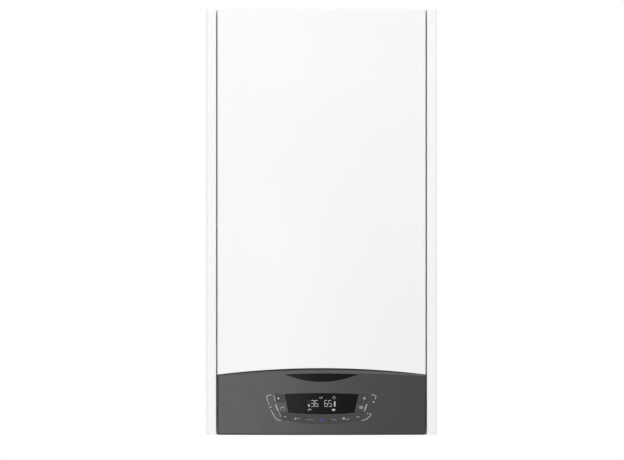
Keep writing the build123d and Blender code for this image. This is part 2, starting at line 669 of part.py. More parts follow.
def front_cover():
    whole = (SEAM_END_Z - EDGE_R, CASE_H)
    outer = bowed_block(COVER_HALF, 0, COVER_BACK, whole, CORNER_R) - under_seam(0)
    back = bow_y(COVER_HALF) + CORNER_R
    outer = fillet(top_front(outer, back), EDGE_R)
    half = COVER_HALF - SHEET
    inner = (SEAM_END_Z - EDGE_R, CASE_H - SHEET)
    hollow = bowed_block(half, SHEET, FLANGE_FRONT, inner, CORNER_R - SHEET) - under_seam(-SHEET)
    hollow = fillet(top_front(hollow, back), EDGE_R - SHEET)
    cover = outer - hollow
    lip_back = STRIP_FRONT + LOWER_LIP
    cover -= block((-half, half), (lip_back, COVER_BACK), (SEAM_END_Z - EDGE_R, SHELF_Z))
    cover += bowed_block(half, SHEET, COVER_BACK, (SHELF_Z, SHELF_Z + SHEET), CORNER_R - SHEET)
    tab = (COVER_BACK - HOOK_TAB_SET, COVER_BACK - HOOK_TAB_SET + FRAME_SHEET)
    for side in (-1, 1):
        x = side * HOOK_X
        plate = block((x - HOOK_TAB_W / 2, x + HOOK_TAB_W / 2), tab, (PIN_Z - HOOK_TAB_W / 2, CASE_H - SHEET))
        cover += plate - rod_y(x, PIN_Z, tab, HOOK_PIN_R + HOOK_CLEAR)
        shelf = (SHELF_Z, SHELF_Z + SHEET)
        cover -= rod_z(side * COVER_SCREW_X, COVER_SCREW_Y, shelf, SCREW_R + SCREW_CLEAR)
    return cover


def cover_screws():
    screws = []
    for side in (-1, 1):
        x = side * COVER_SCREW_X
        shank = rod_z(x, COVER_SCREW_Y, (SHELF_Z, SHELF_Z + BOX_BLOCK / 2), SCREW_R)
        screws.append(shank + rod_z(x, COVER_SCREW_Y, (SHELF_Z - COVER_SCREW_HEAD, SHELF_Z), SCREW_HEAD_R))
    return group(screws)


# ---- control panel ----
def lens_outline():
    top_half, top_z, top_mid = LENS_TOP
    foot_half, foot_z, foot_mid = LENS_FOOT
    top = ThreePointArc((-top_half, top_z), (0, top_mid), (top_half, top_z))
    foot = ThreePointArc((-foot_half, foot_z), (0, foot_mid), (foot_half, foot_z))
    left = Line((-top_half, top_z), (-foot_half, foot_z))
    right = Line((top_half, top_z), (foot_half, foot_z))
    return make_face([top, right, foot, left])


def badge_outline():
    low, corner, middle = BADGE_Z
    foot = ThreePointArc((-BADGE_HALF, corner), (0, low), (BADGE_HALF, corner))
    return make_face([foot, ThreePointArc((-BADGE_HALF, corner), (0, middle), (BADGE_HALF, corner))])


def key_band():
    """the U-shaped band of keys round the display, as one outline"""
    foot = ThreePointArc((-BAND_FOOT[0], BAND_FOOT[1]), (0, BAND_MIDDLE_Z), BAND_FOOT)
    right = Polyline(BAND_FOOT, BAND_CORNER, BAND_TOP)
    left = Polyline(*[(-x, z) for x, z in (BAND_FOOT, BAND_CORNER, BAND_TOP)])
    top = Line((-BAND_TOP[0], BAND_TOP[1]), BAND_TOP)
    return make_face([foot, right, top, left]) - offset(lens_outline(), KEY_GAP, kind=Kind.INTERSECTION)


def cell(x, z):
    """the part of the key band in one rectangle, with rounded corners"""
    window = Pos(sum(x) / 2, sum(z) / 2) * Rectangle(x[1] - x[0], z[1] - z[0])
    return rounded(key_band() & window, KEY_CORNER)


def key_cells():
    reach = (2.5 * ROW_PITCH + KEY_GAP / 2, BAND_TOP[0] + KEY_GAP)
    cells = {}
    for name, side in (("water", -1), ("heating", 1)):
        x = sorted((side * reach[0], side * reach[1]))
        cells[name + "_plus_key"] = cell(x, PLUS_Z)
        cells[name + "_minus_key"] = cell(x, MINUS_Z)
    for index, name in enumerate(ROW_KEYS):
        middle = (index - 2) * ROW_PITCH
        half = (ROW_PITCH - KEY_GAP) / 2
        cells[name] = cell((middle - half, middle + half), (BAND_MIDDLE_Z - KEY_GAP, MINUS_Z[1]))
    return cells


def tile_cells():
    reach = (2.5 * ROW_PITCH + KEY_GAP / 2, BAND_TOP[0] + KEY_GAP)
    return [cell(sorted((side * reach[0], side * reach[1])), TILE_Z) for side in (-1, 1)]


def fascia_block(inset, drop):
    """the fascia's outer form, or its hollow, set in by a wall"""
    tall = (FASCIA_Z + inset, SEAM_END_Z + SEAM_RISE)
    half = COVER_HALF - inset
    back = COVER_BACK if inset == 0 else FLANGE_FRONT
    form = bowed_block(half, inset, back, tall, CORNER_R - inset / 2)
    tilt = math.radians(LIP_SLOPE)
    along = Vector(0, math.cos(tilt), math.sin(tilt))
    upward = Vector(0, -math.sin(tilt), math.cos(tilt))
    sag = LIP_FALL + FRONT_BOW * math.tan(tilt)
    radius = COVER_HALF ** 2 / (2 * sag * math.cos(tilt))
    apex = Vector(0, FRONT_Y, LIP_FRONT_Z)
    lip = Plane(origin=apex - upward * radius, z_dir=along) * Cylinder(radius - inset, 4 * CASE_D)
    return form & under_seam(drop) & lip


def control_fascia():
    form = fascia_block(0, PANEL_SEAM)
    feet = form.edges().filter_by(Axis.Y).group_by(Axis.Z)[0]
    form = fillet(feet, FASCIA_CORNER)
    shell = form - fascia_block(FASCIA_WALL, PANEL_SEAM + FASCIA_WALL)
    for side in (-1, 1):
        for z in BOX_BOSS_Z:
            x = side * BOX_BOSS_X
            shell += rod_y(x, z, (bow_y(x, FASCIA_WALL / 2), BOX_FRONT), BOX_BOSS_R)
        for z in (BOARD_Z[0] + 2 * BOARD_BOSS[1], BOARD_Z[1] - 2 * BOARD_BOSS[1]):
            x = side * BOARD_BOSS[0]
            shell += rod_y(x, z, (bow_y(x, FASCIA_WALL / 2), BOARD_Y), BOARD_BOSS[1])
    for outline in tile_cells():
        shell += prism(outline, (FRONT_Y - KEY_PROUD, STRIP_FRONT)) & front_skin(KEY_PROUD, FASCIA_WALL / 2)
    pocket = offset(lens_outline(), INLAY_CLEAR, kind=Kind.INTERSECTION)
    window = offset(lens_outline(), -LENS_LEDGE, kind=Kind.INTERSECTION)
    shell -= prism(pocket, (FRONT_Y, STRIP_FRONT)) & front_skin(KEY_PROUD, LENS_T)
    shell -= prism(window, (FRONT_Y, STRIP_FRONT))
    badge = offset(badge_outline(), INLAY_CLEAR, kind=Kind.INTERSECTION)
    shell -= prism(badge, (FRONT_Y, STRIP_FRONT)) & front_skin(KEY_PROUD, BADGE_T)
    for outline in key_cells().values():
        shell -= prism(offset(outline, KEY_CLEAR), (FRONT_Y, STRIP_FRONT))
    return shell


def display_lens():
    return prism(lens_outline(), (FRONT_Y, STRIP_FRONT)) & front_skin(0, LENS_T - INLAY_CLEAR / 3)


def badge_insert():
    slab = front_skin(BADGE_PROUD, BADGE_T - INLAY_CLEAR / 3)
    return prism(badge_outline(), (FRONT_Y - BADGE_PROUD, STRIP_FRONT)) & slab


def push_key(outline):
    """a key cap with the stem that reaches for its switch"""
    middle = outline.center()
    rear = FRONT_Y + KEY_BACK
    front = bowed_block(COVER_HALF, -KEY_PROUD, rear, (0, SEAM_END_Z), CORNER_R)
    cap = prism(outline, (FRONT_Y - 2 * KEY_PROUD, rear)) & front
    tip = BOARD_Y - SWITCH[1] - SWITCH_TIP[1] - KEY_TRAVEL - SWITCH_CLEAR
    return cap + rod_y(middle.X, middle.Y, (rear, tip), KEY_STEM_R)


def display_module():
    return block((-MODULE_HALF, MODULE_HALF), (FRONT_Y + MODULE_SET, BOARD_Y), MODULE_Z)


def main_pcb():
    board = block((-BOARD_HALF, BOARD_HALF), (BOARD_Y, BOARD_Y + BOARD_T), BOARD_Z)
    half, height = SWITCH
    for outline in key_cells().values():
        x, z = outline.center().X, outline.center().Y
        board += block((x - half, x + half), (BOARD_Y - height, BOARD_Y), (z - half, z + half))
        board += rod_y(x, z, (BOARD_Y - height - SWITCH_TIP[1], BOARD_Y), SWITCH_TIP[0])
    rear = BOARD_Y + BOARD_T
    left = COMPONENT_SET[0] - BOARD_HALF
    foot = BOARD_Z[0] + COMPONENT_SET[1]
    for width, depth, height in (TRANSFORMER, RELAY, RELAY, TERMINAL_ROW):
        board += block((left, left + width), (rear, rear + depth), (foot, foot + height))
        left += width + COMPONENT_GAP
    radius, depth, spacing = CAPACITOR
    for index in range(3):
        board += rod_y(index * spacing, sum(BOARD_Z) / 2, (rear, rear + depth), radius)
    return board


def control_box():
    outside = block((-BOX_HALF, BOX_HALF), (BOX_FRONT, BOX_BACK), BOX_Z)
    inner = BOX_HALF - BOX_WALL
    inner_z = (BOX_Z[0] + BOX_WALL, BOX_Z[1] - BOX_WALL)
    tub = outside - block((-inner, inner), (BOX_FRONT, BOX_BACK - BOX_WALL), inner_z)
    front = (BOX_FRONT, BOX_FRONT + BOX_BLOCK)
    for side in (-1, 1):
        across = sorted((side * inner, side * (inner - BOX_BLOCK)))
        tub += block(across, front, (inner_z[0], inner_z[0] + BOX_BLOCK))
        tub += block(across, front, (inner_z[1] - BOX_BLOCK, inner_z[1]))
        boss = sorted((side * BOX_HALF, side * (BOX_HALF - HINGE_REACH)))
        tub += rod_x(HINGE_Y, HINGE_Z, boss, HINGE_PIN_R + BOX_WALL)
        tub -= rod_x(HINGE_Y, HINGE_Z, boss, HINGE_PIN_R + HINGE_CLEAR)
    for index in range(BOX_VENTS):
        x = (index - (BOX_VENTS - 1) / 2) * VENT_PITCH
        long = (BOX_BACK - 2 * BOX_BLOCK, BOX_BACK - BOX_BLOCK)
        tub -= block((x - BOX_WALL, x + BOX_WALL), long, (inner_z[1], BOX_Z[1]))
    return tub


# ---- flue ----
def air_intake_collar():
    inner, outer = AIR_BORE, AIR_BORE + AIR_WALL
    plate = rod_z(0, FLUE_Y, (TOP_FACE, TOP_FACE + AIR_FLANGE_T), AIR_FLANGE)
    collar = plate + rod_z(0, FLUE_Y, (TOP_FACE - AIR_SPIGOT, CASE_H - SHEET), outer)
    for angle in (0, 180):
        at = Vector(TEST_CIRCLE, 0).rotate(Axis.Z, angle)
        collar += rod_z(at.X, FLUE_Y + at.Y, (TOP_FACE, TOP_FACE + AIR_FLANGE_T + TEST_H), TEST_R)
    return collar - rod_z(0, FLUE_Y, (TOP_FACE - AIR_SPIGOT, CASE_H), inner)


def test_point_caps():
    caps = []
    top = TOP_FACE + AIR_FLANGE_T + TEST_H
    for angle in (0, 180):
        at = Vector(TEST_CIRCLE, 0).rotate(Axis.Z, angle)
        foot = top - TEST_H + CAP_WALL
        cap = rod_z(at.X, FLUE_Y + at.Y, (foot, top + CAP_WALL), TEST_R + CAP_WALL)
        caps.append(cap - rod_z(at.X, FLUE_Y + at.Y, (foot, top), TEST_R + SNUG))
    return group(caps)


def flue_duct():
    foot = SPIGOT_TOP - SPIGOT_LAP
    duct = rod_z(0, FLUE_Y, (foot, FLUE_TOP), FLUE_BORE + FLUE_WALL)
    bead = (FLUE_TOP - 6 * FLUE_BEAD, FLUE_TOP - 2 * FLUE_BEAD)
    duct += rod_z(0, FLUE_Y, bead, FLUE_BORE + FLUE_WALL + FLUE_BEAD)
    return duct - rod_z(0, FLUE_Y, (foot, FLUE_TOP), FLUE_BORE)


# ---- condensing exchanger ----
def exchanger_shell():
    foot = SPIGOT_TOP - SPIGOT_LAP
    sleeve_r = FLUE_BORE + FLUE_WALL + SPIGOT_CLEAR
    shell = rod_y(CELL_X, CELL_Z, (CELL_FRONT, CELL_BACK), CELL_R)
    shell += rod_y(CELL_X, CELL_Z, (CELL_FRONT, CELL_FRONT + CELL_FLANGE_T), DOOR_R)
    shell += rod_z(0, FLUE_Y, (CELL_Z, SPIGOT_TOP), sleeve_r + FLUE_WALL)
    for x in (FLOW_PORT_X, RETURN_PORT_X):
        shell += rod_z(x, PIPE_Y, (STUB_FOOT, CELL_Z), PIPE_R)
    shell += rod_z(CELL_X, TRAP_Y, (DRAIN_FOOT, CELL_Z), DRAIN_R)
    shell -= rod_z(0, FLUE_Y, (CELL_Z, SPIGOT_TOP), FLUE_BORE - FLUE_WALL)
    shell -= rod_z(0, FLUE_Y, (foot - SPIGOT_CLEAR, SPIGOT_TOP), sleeve_r)
    for x in (FLOW_PORT_X, RETURN_PORT_X):
        shell -= rod_z(x, PIPE_Y, (STUB_FOOT, CELL_Z), PIPE_R - PIPE_WALL)
    shell -= rod_z(CELL_X, TRAP_Y, (DRAIN_FOOT, CELL_Z), DRAIN_R - PIPE_WALL)
    shell -= rod_y(CELL_X, CELL_Z, (CELL_FRONT, CELL_BACK - CELL_WALL), CELL_R - CELL_WALL)
    for x, z in nut_places():
        shell -= rod_y(x, z, (CELL_FRONT, CELL_FRONT + CELL_FLANGE_T), STUD_R + SCREW_CLEAR)
    return shell


def on_door(circle, angles):
    """places on a circle about the burner's axis"""
    turns = [math.radians(angle) for angle in angles]
    return [(CELL_X + circle * math.cos(a), CELL_Z + circle * math.sin(a)) for a in turns]


def nut_places():
    """places round the door, clear of the air duct"""
    step = 360 / NUT_COUNT
    return on_door(NUT_CIRCLE, [DUCT_SLOPE + step * (index + 0.5) for index in range(NUT_COUNT)])


def biarc(start, start_dir, end, end_dir):
    """two tangent arcs from one point and direction to another"""
    gap = end - start
    both = start_dir + end_dir
    bend = 2 * (1 - start_dir.dot(end_dir))
    reach = (math.sqrt(gap.dot(both) ** 2 + bend * gap.dot(gap)) - gap.dot(both)) / bend
    first = start + start_dir * reach
    second = end - end_dir * reach
    middle = (first + second) / 2
    turn = (second - first).normalized()
    return [TangentArc(start, middle, tangent=start_dir), TangentArc(middle, end, tangent=turn)]


def coil_point(quarter):
    """point and direction of the coil after so many quarter turns"""
    angle = quarter * math.pi / 2
    rise = COIL_PITCH / (2 * math.pi)
    start = CELL_BACK - (CELL_L + COIL_TURNS * COIL_PITCH) / 2
    x = CELL_X + COIL_HELIX * math.cos(angle)
    z = CELL_Z + COIL_HELIX * math.sin(angle)
    heading = Vector(-COIL_HELIX * math.sin(angle), rise, COIL_HELIX * math.cos(angle))
    return Vector(x, start + rise * angle, z), heading.normalized()


def exchanger_coil():
    arcs = []
    for quarter in range(4 * COIL_TURNS):
        arcs += biarc(*coil_point(quarter), *coil_point(quarter + 1))
    path = Wire([edge for arc in arcs for edge in arc.edges()])
    print("coil: least gap between turns", round(COIL_PITCH - 2 * COIL_R, 2))
    start, heading = coil_point(0)
    return sweep(Plane(origin=start, z_dir=heading) * Circle(COIL_R), path=path)


def duct_outline(grow):
    """the air duct on the door, from the fan outlet to the burner"""
    length = math.hypot(OUTLET[0] - CELL_X, FAN_OUT_Z)
    slot = SlotCenterToCenter(length, 2 * (DUCT_HALF + grow))
    middle = ((CELL_X + OUTLET[0]) / 2, CELL_Z + FAN_OUT_Z / 2)
    return Pos(*middle) * Rot(0, 0, DUCT_SLOPE) * slot


def burner_door():
    door = rod_y(CELL_X, CELL_Z, (DOOR_FRONT, CELL_FRONT), DOOR_R)
    door += prism(duct_outline(0), (DUCT_FRONT, DOOR_FRONT))
    door -= prism(duct_outline(-DUCT_WALL), (DUCT_FRONT + DUCT_WALL, DOOR_FRONT - DUCT_WALL))
    door -= rod_y(CELL_X, CELL_Z, (DOOR_FRONT - DUCT_DEPTH / 2, CELL_FRONT), DUCT_HALF - DUCT_WALL)
    outlet = (DOOR_FRONT - DUCT_DEPTH / 2, DOOR_FRONT)
    door -= rod_y(OUTLET[0], OUTLET[1], outlet, FAN_OUT_R - FAN_WALL)
    for x, z in nut_places():
        door -= rod_y(x, z, (DOOR_FRONT, CELL_FRONT), STUD_R + SCREW_CLEAR)
    for x, z in on_door(ELECTRODE_CIRCLE, ELECTRODE_ANGLES):
        door -= rod_y(x, z, (DOOR_FRONT, CELL_FRONT), CERAMIC_R + SHAFT_CLEAR)
    return door


def burner_tube():
    rear = CELL_FRONT + BURNER_L
    tube = rod_y(CELL_X, CELL_Z, (CELL_FRONT, rear), BURNER_R)
    tube += rod_y(CELL_X, CELL_Z, (CELL_FRONT, CELL_FRONT + FLUE_WALL), BURNER_R + CELL_FLANGE / 2)
    inside = (CELL_FRONT, rear - BURNER_SHEET)
    tube -= rod_y(CELL_X, CELL_Z, inside, BURNER_R - BURNER_SHEET)
    for row in range(BURNER_ROWS):
        y = CELL_FRONT + BURNER_PITCH * (row + 1)
        for index in range(BURNER_BORES):
            hole = Rot(0, index * 180 / BURNER_BORES, 0) * Cylinder(BURNER_HOLE_R, 3 * BURNER_R)
            tube -= Pos(CELL_X, y, CELL_Z) * hole
    return tube


def door_nuts():
    nuts = []
    for x, z in nut_places():
        hexagon = Pos(x, z) * RegularPolygon(NUT_R, 6)
        nut = prism(hexagon, (DOOR_FRONT - NUT_H, DOOR_FRONT))
        nuts.append(nut + rod_y(x, z, (DOOR_FRONT - STUD_OUT, CELL_FRONT + CELL_FLANGE_T), STUD_R))
    return group(nuts)


def electrodes():
    pieces = []
    for x, z in on_door(ELECTRODE_CIRCLE, ELECTRODE_ANGLES):
        outside, inside = CERAMIC_L
        plug = rod_y(x, z, (DOOR_FRONT - outside, DOOR_FRONT + inside), CERAMIC_R)
        plug += rod_y(x, z, (DOOR_FRONT - FRAME_SHEET, DOOR_FRONT), 2 * CERAMIC_R)
        rod = (DOOR_FRONT - outside - CERAMIC_R, DOOR_FRONT + inside + ELECTRODE_ROD[1])
        pieces.append(plug + rod_y(x, z, rod, ELECTRODE_ROD[0]))
    return group(pieces)


# ---- fan and gas line ----
def fan_housing():
    def scroll(wall):
        depth = (FAN_FRONT + wall, FAN_BACK - wall)
        x, z = OUTLET
        form = rod_y(FAN_X, CELL_Z, depth, FAN_R - wall)
        form += block((x, FAN_X), depth, (z - FAN_OUT_R + wall, z + FAN_OUT_R - wall))
        return form + rod_y(x, z, depth, FAN_OUT_R - wall)

    x, z = OUTLET
    housing = scroll(0) + rod_y(x, z, (DOOR_FRONT, FAN_FRONT), FAN_OUT_R)
    housing -= scroll(FAN_WALL)
    housing -= rod_y(x, z, (DOOR_FRONT, FAN_FRONT + FAN_WALL), FAN_OUT_R - FAN_WALL)
    housing -= rod_y(FAN_X, CELL_Z, (FAN_BACK - FAN_WALL, FAN_BACK), FAN_INLET_R)
    return housing - rod_y(FAN_X, CELL_Z, (FAN_FRONT, FAN_FRONT + FAN_WALL), SHAFT_R + FAN_WALL)


def fan_motor():
    front = FAN_FRONT - MOTOR_L
    motor = rod_y(FAN_X, CELL_Z, (front, FAN_FRONT), MOTOR_R)
    motor = fillet(motor.edges().sort_by(Axis.Y)[0], CORNER_R)
    depth, size = PLUG
    below = (CELL_Z - MOTOR_R - depth, CELL_Z - MOTOR_R + CORNER_R)
    middle = (front + FAN_FRONT) / 2
    motor += block((FAN_X - size / 2, FAN_X + size / 2), (middle - size / 2, middle + size / 2), below)
    return motor - rod_y(FAN_X, CELL_Z, (FAN_FRONT - MOTOR_BORE, FAN_FRONT), SHAFT_R + SHAFT_CLEAR)


def fan_impeller():
    plate_y = FAN_FRONT + FAN_WALL + WHEEL_END_GAP
    blade_y = plate_y + WHEEL_PLATE
    ring_y = blade_y + BLADE_L
    wheel = rod_y(FAN_X, CELL_Z, (plate_y, blade_y), WHEEL_R)
    wheel += rod_y(FAN_X, CELL_Z, (blade_y, blade_y + BLADE_L / 2), WHEEL_HUB_R)
    ring = rod_y(FAN_X, CELL_Z, (ring_y, ring_y + WHEEL_PLATE), WHEEL_R)
    wheel += ring - rod_y(FAN_X, CELL_Z, (ring_y, ring_y + WHEEL_PLATE), FAN_INLET_R + WHEEL_PLATE)
    span = (FAN_INLET_R + WHEEL_PLATE + BLADE_SET, WHEEL_R - BLADE_SET)
    blade = block(span, (blade_y, ring_y), (-BLADE_T / 2, BLADE_T / 2))
    for index in range(WHEEL_BLADES):
        wheel += Pos(FAN_X, 0, CELL_Z) * Rot(0, index * 360 / WHEEL_BLADES, 0) * blade
    return wheel + rod_y(FAN_X, CELL_Z, (FAN_FRONT - MOTOR_BORE + END_GAP, plate_y), SHAFT_R)


def gas_mixer():
    radius, thick = MIXER_FLANGE
    mixer = rod_y(FAN_X, CELL_Z, (FAN_BACK, MIXER_BACK), MIXER_R)
    mixer += rod_y(FAN_X, CELL_Z, (FAN_BACK, FAN_BACK + thick), radius)
    mixer += rod_z(FAN_X, GAS_Y, (MIXER_PORT_Z, CELL_Z), GAS_PORT_R)
    mixer -= rod_y(FAN_X, CELL_Z, (FAN_BACK, MIXER_BACK), MIXER_THROAT)
    mouth = (MIXER_BACK - thick, MIXER_BACK)
    mixer -= rod_y(FAN_X, CELL_Z, mouth, MIXER_BORE)
    return mixer - rod_z(FAN_X, GAS_Y, (MIXER_PORT_Z, CELL_Z), GAS_R - GAS_WALL)


def gas_valve():
    half = VALVE_SIZE[0] / 2
    body = block((FAN_X - half, FAN_X + half), (VALVE_FRONT, VALVE_BACK), (VALVE_Z, VALVE_TOP))
    body = fillet(body.edges().filter_by(Axis.Z), CORNER_R)
    radius, length = COIL_CAN
    for side in (-1, 1):
        x = FAN_X + side * half / 2
        body += rod_y(x, VALVE_TOP - 2 * radius, (VALVE_FRONT - length, VALVE_FRONT), radius)
    body += rod_z(FAN_X, GAS_Y, (VALVE_Z - GAS_PORT_L, VALVE_TOP + GAS_PORT_L), GAS_PORT_R)
    depth, size = PLUG
    middle = (VALVE_FRONT + VALVE_BACK) / 2
    plug_y = (middle - size / 2, middle + size / 2)
    plug_z = ((VALVE_Z + VALVE_TOP - size) / 2, (VALVE_Z + VALVE_TOP + size) / 2)
    body += block((VALVE_SIDE, VALVE_SIDE + depth / 2), plug_y, plug_z)
    return body - rod_z(FAN_X, GAS_Y, (VALVE_Z - GAS_PORT_L, VALVE_TOP + GAS_PORT_L), GAS_R - GAS_WALL)


def gas_pipe():
    foot = VALVE_Z - GAS_PORT_L
    low, high = GAS_CROSS_Z
    route = [(0, PIPE_Y, BASE_TOP), (0, PIPE_Y, low), (FAN_X, GAS_Y, high), (FAN_X, GAS_Y, foot)]
    lower = pipe(route, GAS_BEND, GAS_R, GAS_WALL)
    above = (VALVE_TOP + GAS_PORT_L, MIXER_PORT_Z)
    upper = rod_z(FAN_X, GAS_Y, above, GAS_R) - rod_z(FAN_X, GAS_Y, above, GAS_R - GAS_WALL)
    return group([lower, upper])


def air_inlet_tube():
    rear = MIXER_BACK + AIR_TUBE_REACH
    route = [(FAN_X, MIXER_BACK, CELL_Z), (FAN_X, rear, CELL_Z), (FAN_X, rear, AIR_TUBE_TOP)]
    return pipe(route, AIR_TUBE_BEND, AIR_TUBE_R, AIR_TUBE_WALL)


# ---- expansion vessel ----
def expansion_vessel():
    def flask(wall):
        depth = (VESSEL_FRONT + wall, VESSEL_BACK - wall)
        disc = rod_y(0, CELL_Z, depth, VESSEL_R - wall)
        return fillet(disc.edges().filter_by(GeomType.CIRCLE), VESSEL_ROUND - wall)

    x, y = VESSEL_PORT
    proud, width = VESSEL_SEAM
    middle = (VESSEL_FRONT + VESSEL_BACK) / 2
    vessel = flask(0) + rod_y(0, CELL_Z, (middle - width / 2, middle + width / 2), VESSEL_R + proud)
    vessel += rod_z(x, y, (VESSEL_PORT_Z, CELL_Z - VESSEL_R / 2), PORT_R)
    vessel -= flask(VESSEL_WALL)
    return vessel - rod_z(x, y, (VESSEL_PORT_Z, CELL_Z), HOSE_R)


def vessel_hose():
    x, y = VESSEL_PORT
    radius, boss_z, boss_y = HOSE_BOSS
    route = [
        (x, y, VESSEL_PORT_Z),
        (x, y, PLATES_Z[1] + HOSE_BEND),
        (RETURN_X, y, PLATES_Z[1] - 2 * HOSE_BEND),
        (RETURN_X, y, boss_z),
        (RETURN_X, boss_y, boss_z),
    ]
    return pipe(route, HOSE_BEND, HOSE_R, PIPE_WALL)


# ---- hydraulics ----
def connection_tails():
    tails = []
    for x, radius in TAILS:
        tail = rod_z(x, PIPE_Y, (TAIL_FOOT, BASE_TOP), radius)
        hexagon = Pos(x, PIPE_Y) * RegularPolygon(radius + HEX_EXTRA, 6)
        tail += Pos(0, 0, BASE_Z - HEX_H) * extrude(hexagon, HEX_H)
        tails.append(tail - rod_z(x, PIPE_Y, (TAIL_FOOT, BASE_TOP), radius - TAIL_WALL))
    return group(tails)


def plate_exchanger():
    height = PLATES_Z[1] - PLATES_Z[0]
    outline = Pos(0, sum(PLATES_Z) / 2) * RectangleRounded(2 * PLATES_HALF, height, PLATES_CORNER)
    step = (PLATES_Y[1] - PLATES_Y[0]) / PLATES
    stack = prism(offset(outline, -PLATE_GROOVE), PLATES_Y)
    for index in range(PLATES):
        front = PLATES_Y[0] + index * step
        stack += prism(outline, (front, front + PLATE_SHARE * step))
    return stack


def pump_body():
    base = (BASE_TOP, BRIDGE_Z[1])
    bridge_x = (COLD_X - BRIDGE_LAP, RETURN_X + BARREL_R)
    body = block(bridge_x, (BRIDGE_FRONT, PLATES_Y[0]), BRIDGE_Z)
    body += rod_z(RETURN_X, PIPE_Y, base, BARREL_R)
    body += rod_z(COLD_X, PIPE_Y, base, BARREL_SLIM)
    body += rod_y(PUMP_X, PUMP_Z, (VOLUTE_FRONT, PLATES_Y[0]), VOLUTE_R)
    body += rod_z(RETURN_RISER_X, PIPE_Y, (PUMP_Z, RISER_TOP), RISER_R)
    body += rod_z(VENT_X, VENT_Y, (PUMP_Z, VENT_BOSS[1]), VENT_BOSS[0])
    body += rod_y(RETURN_X, HOSE_BOSS[1], (PIPE_Y, HOSE_BOSS[2]), HOSE_BOSS[0])
    body += rod_y(RETURN_X, RELIEF_Z, (VOLUTE_FRONT, PIPE_Y), RELIEF_BOSS_R)
    body -= rod_y(PUMP_X, PUMP_Z, (VOLUTE_FRONT, VOLUTE_FRONT + CHAMBER_L), CHAMBER_R)
    body -= rod_z(RETURN_X, PIPE_Y, (BASE_TOP, BRIDGE_Z[0]), BARREL_BORE)
    body -= rod_z(COLD_X, PIPE_Y, (BASE_TOP, BRIDGE_Z[0]), SLIM_BORE)
    return body - rod_z(RETURN_RISER_X, PIPE_Y, (PUMP_Z, RISER_TOP), PIPE_R - PIPE_WALL)


def pump_motor():
    can = rod_y(PUMP_X, PUMP_Z, (CAN_FRONT, VOLUTE_FRONT), CAN_R)
    can = fillet(can.edges().sort_by(Axis.Y)[0], CORNER_R)
    can += rod_y(PUMP_X, PUMP_Z, (VOLUTE_FRONT - NUT_H, VOLUTE_FRONT), VOLUTE_R)
    can += rod_y(PUMP_X, PUMP_Z, (CAN_FRONT - SHEET, CAN_FRONT), PORT_R)
    rear = CAN_FRONT + CAN_L / 2
    across = (PUMP_X - TERMINAL[0] / 2, PUMP_X + TERMINAL[0] / 2)
    can += block(across, (CAN_FRONT + CORNER_R, rear), (PUMP_Z, PUMP_Z + CAN_R + TERMINAL[1]))
    radius, length = ROTOR_CAVITY
    return can - rod_y(PUMP_X, PUMP_Z, (VOLUTE_FRONT - length, VOLUTE_FRONT), radius)


def pump_rotor():
    front = VOLUTE_FRONT - ROTOR_CAVITY[1]
    length, start = ROTOR_MAGNET
    magnet_r = ROTOR_CAVITY[0] - ROTOR_CLEAR
    rotor = rod_y(PUMP_X, PUMP_Z, (front + start, front + start + length), magnet_r)
    plate = VOLUTE_FRONT + PUMP_WHEEL_GAP
    rear = plate + PUMP_WHEEL_T + PUMP_WHEEL_GAP
    rotor += rod_y(PUMP_X, PUMP_Z, (front + STEM_CLEAR, rear), SHAFT_R)
    for y in (plate, rear):
        rotor += rod_y(PUMP_X, PUMP_Z, (y, y + PUMP_WHEEL_T), PUMP_WHEEL_R)
    blade = block((0, PUMP_WHEEL_R - BLADE_T), (plate, rear), (-BLADE_T / 2, BLADE_T / 2))
    for index in range(PUMP_BLADES):
        rotor += Pos(PUMP_X, 0, PUMP_Z) * Rot(0, index * 360 / PUMP_BLADES, 0) * blade
    return rotor


def flow_turbine():
    top = TURBINE_Z + TURBINE_H
    wheel = rod_z(COLD_X, PIPE_Y, (TURBINE_Z, top), TURBINE_HUB)
    reach = SLIM_BORE - TURBINE_CLEAR
    blade = block((0, reach), (-BLADE_T / 2, BLADE_T / 2), (TURBINE_Z, top))
    for index in range(TURBINE_BLADES):
        wheel += Pos(COLD_X, PIPE_Y, 0) * Rot(0, 0, index * 360 / TURBINE_BLADES) * blade
    return wheel & rod_z(COLD_X, PIPE_Y, (TURBINE_Z, top), reach)


def air_vent():
    foot = VENT_BOSS[1]
    vent = rod_z(VENT_X, VENT_Y, (foot, foot + VENT_H), VENT_R)
    vent = chamfer(vent.edges().filter_by(GeomType.CIRCLE), EDGE_R)
    radius, height = VENT_CAP
    return vent + rod_z(VENT_X, VENT_Y, (foot + VENT_H, foot + VENT_H + height), radius)


def diverter_body():
    flow_x = -2 * PITCH
    body = block((flow_x - BARREL_R, BRIDGE_LAP - PITCH), (BRIDGE_FRONT, PLATES_Y[0]), BRIDGE_Z)
    body += rod_z(flow_x, PIPE_Y, (BASE_TOP, DIVERTER_TOP), BARREL_R)
    body += rod_z(-PITCH, PIPE_Y, (BASE_TOP, BRIDGE_Z[1]), BARREL_SLIM)
    body += rod_z(FLOW_RISER_X, PIPE_Y, (BRIDGE_Z[0], RISER_TOP), RISER_R)
    body -= rod_z(flow_x, PIPE_Y, (BASE_TOP, DIVERTER_TOP), BARREL_BORE)
    body -= rod_z(-PITCH, PIPE_Y, (BASE_TOP, BRIDGE_Z[0]), SLIM_BORE)
    return body - rod_z(FLOW_RISER_X, PIPE_Y, (BRIDGE_Z[1], RISER_TOP), PIPE_R - PIPE_WALL)


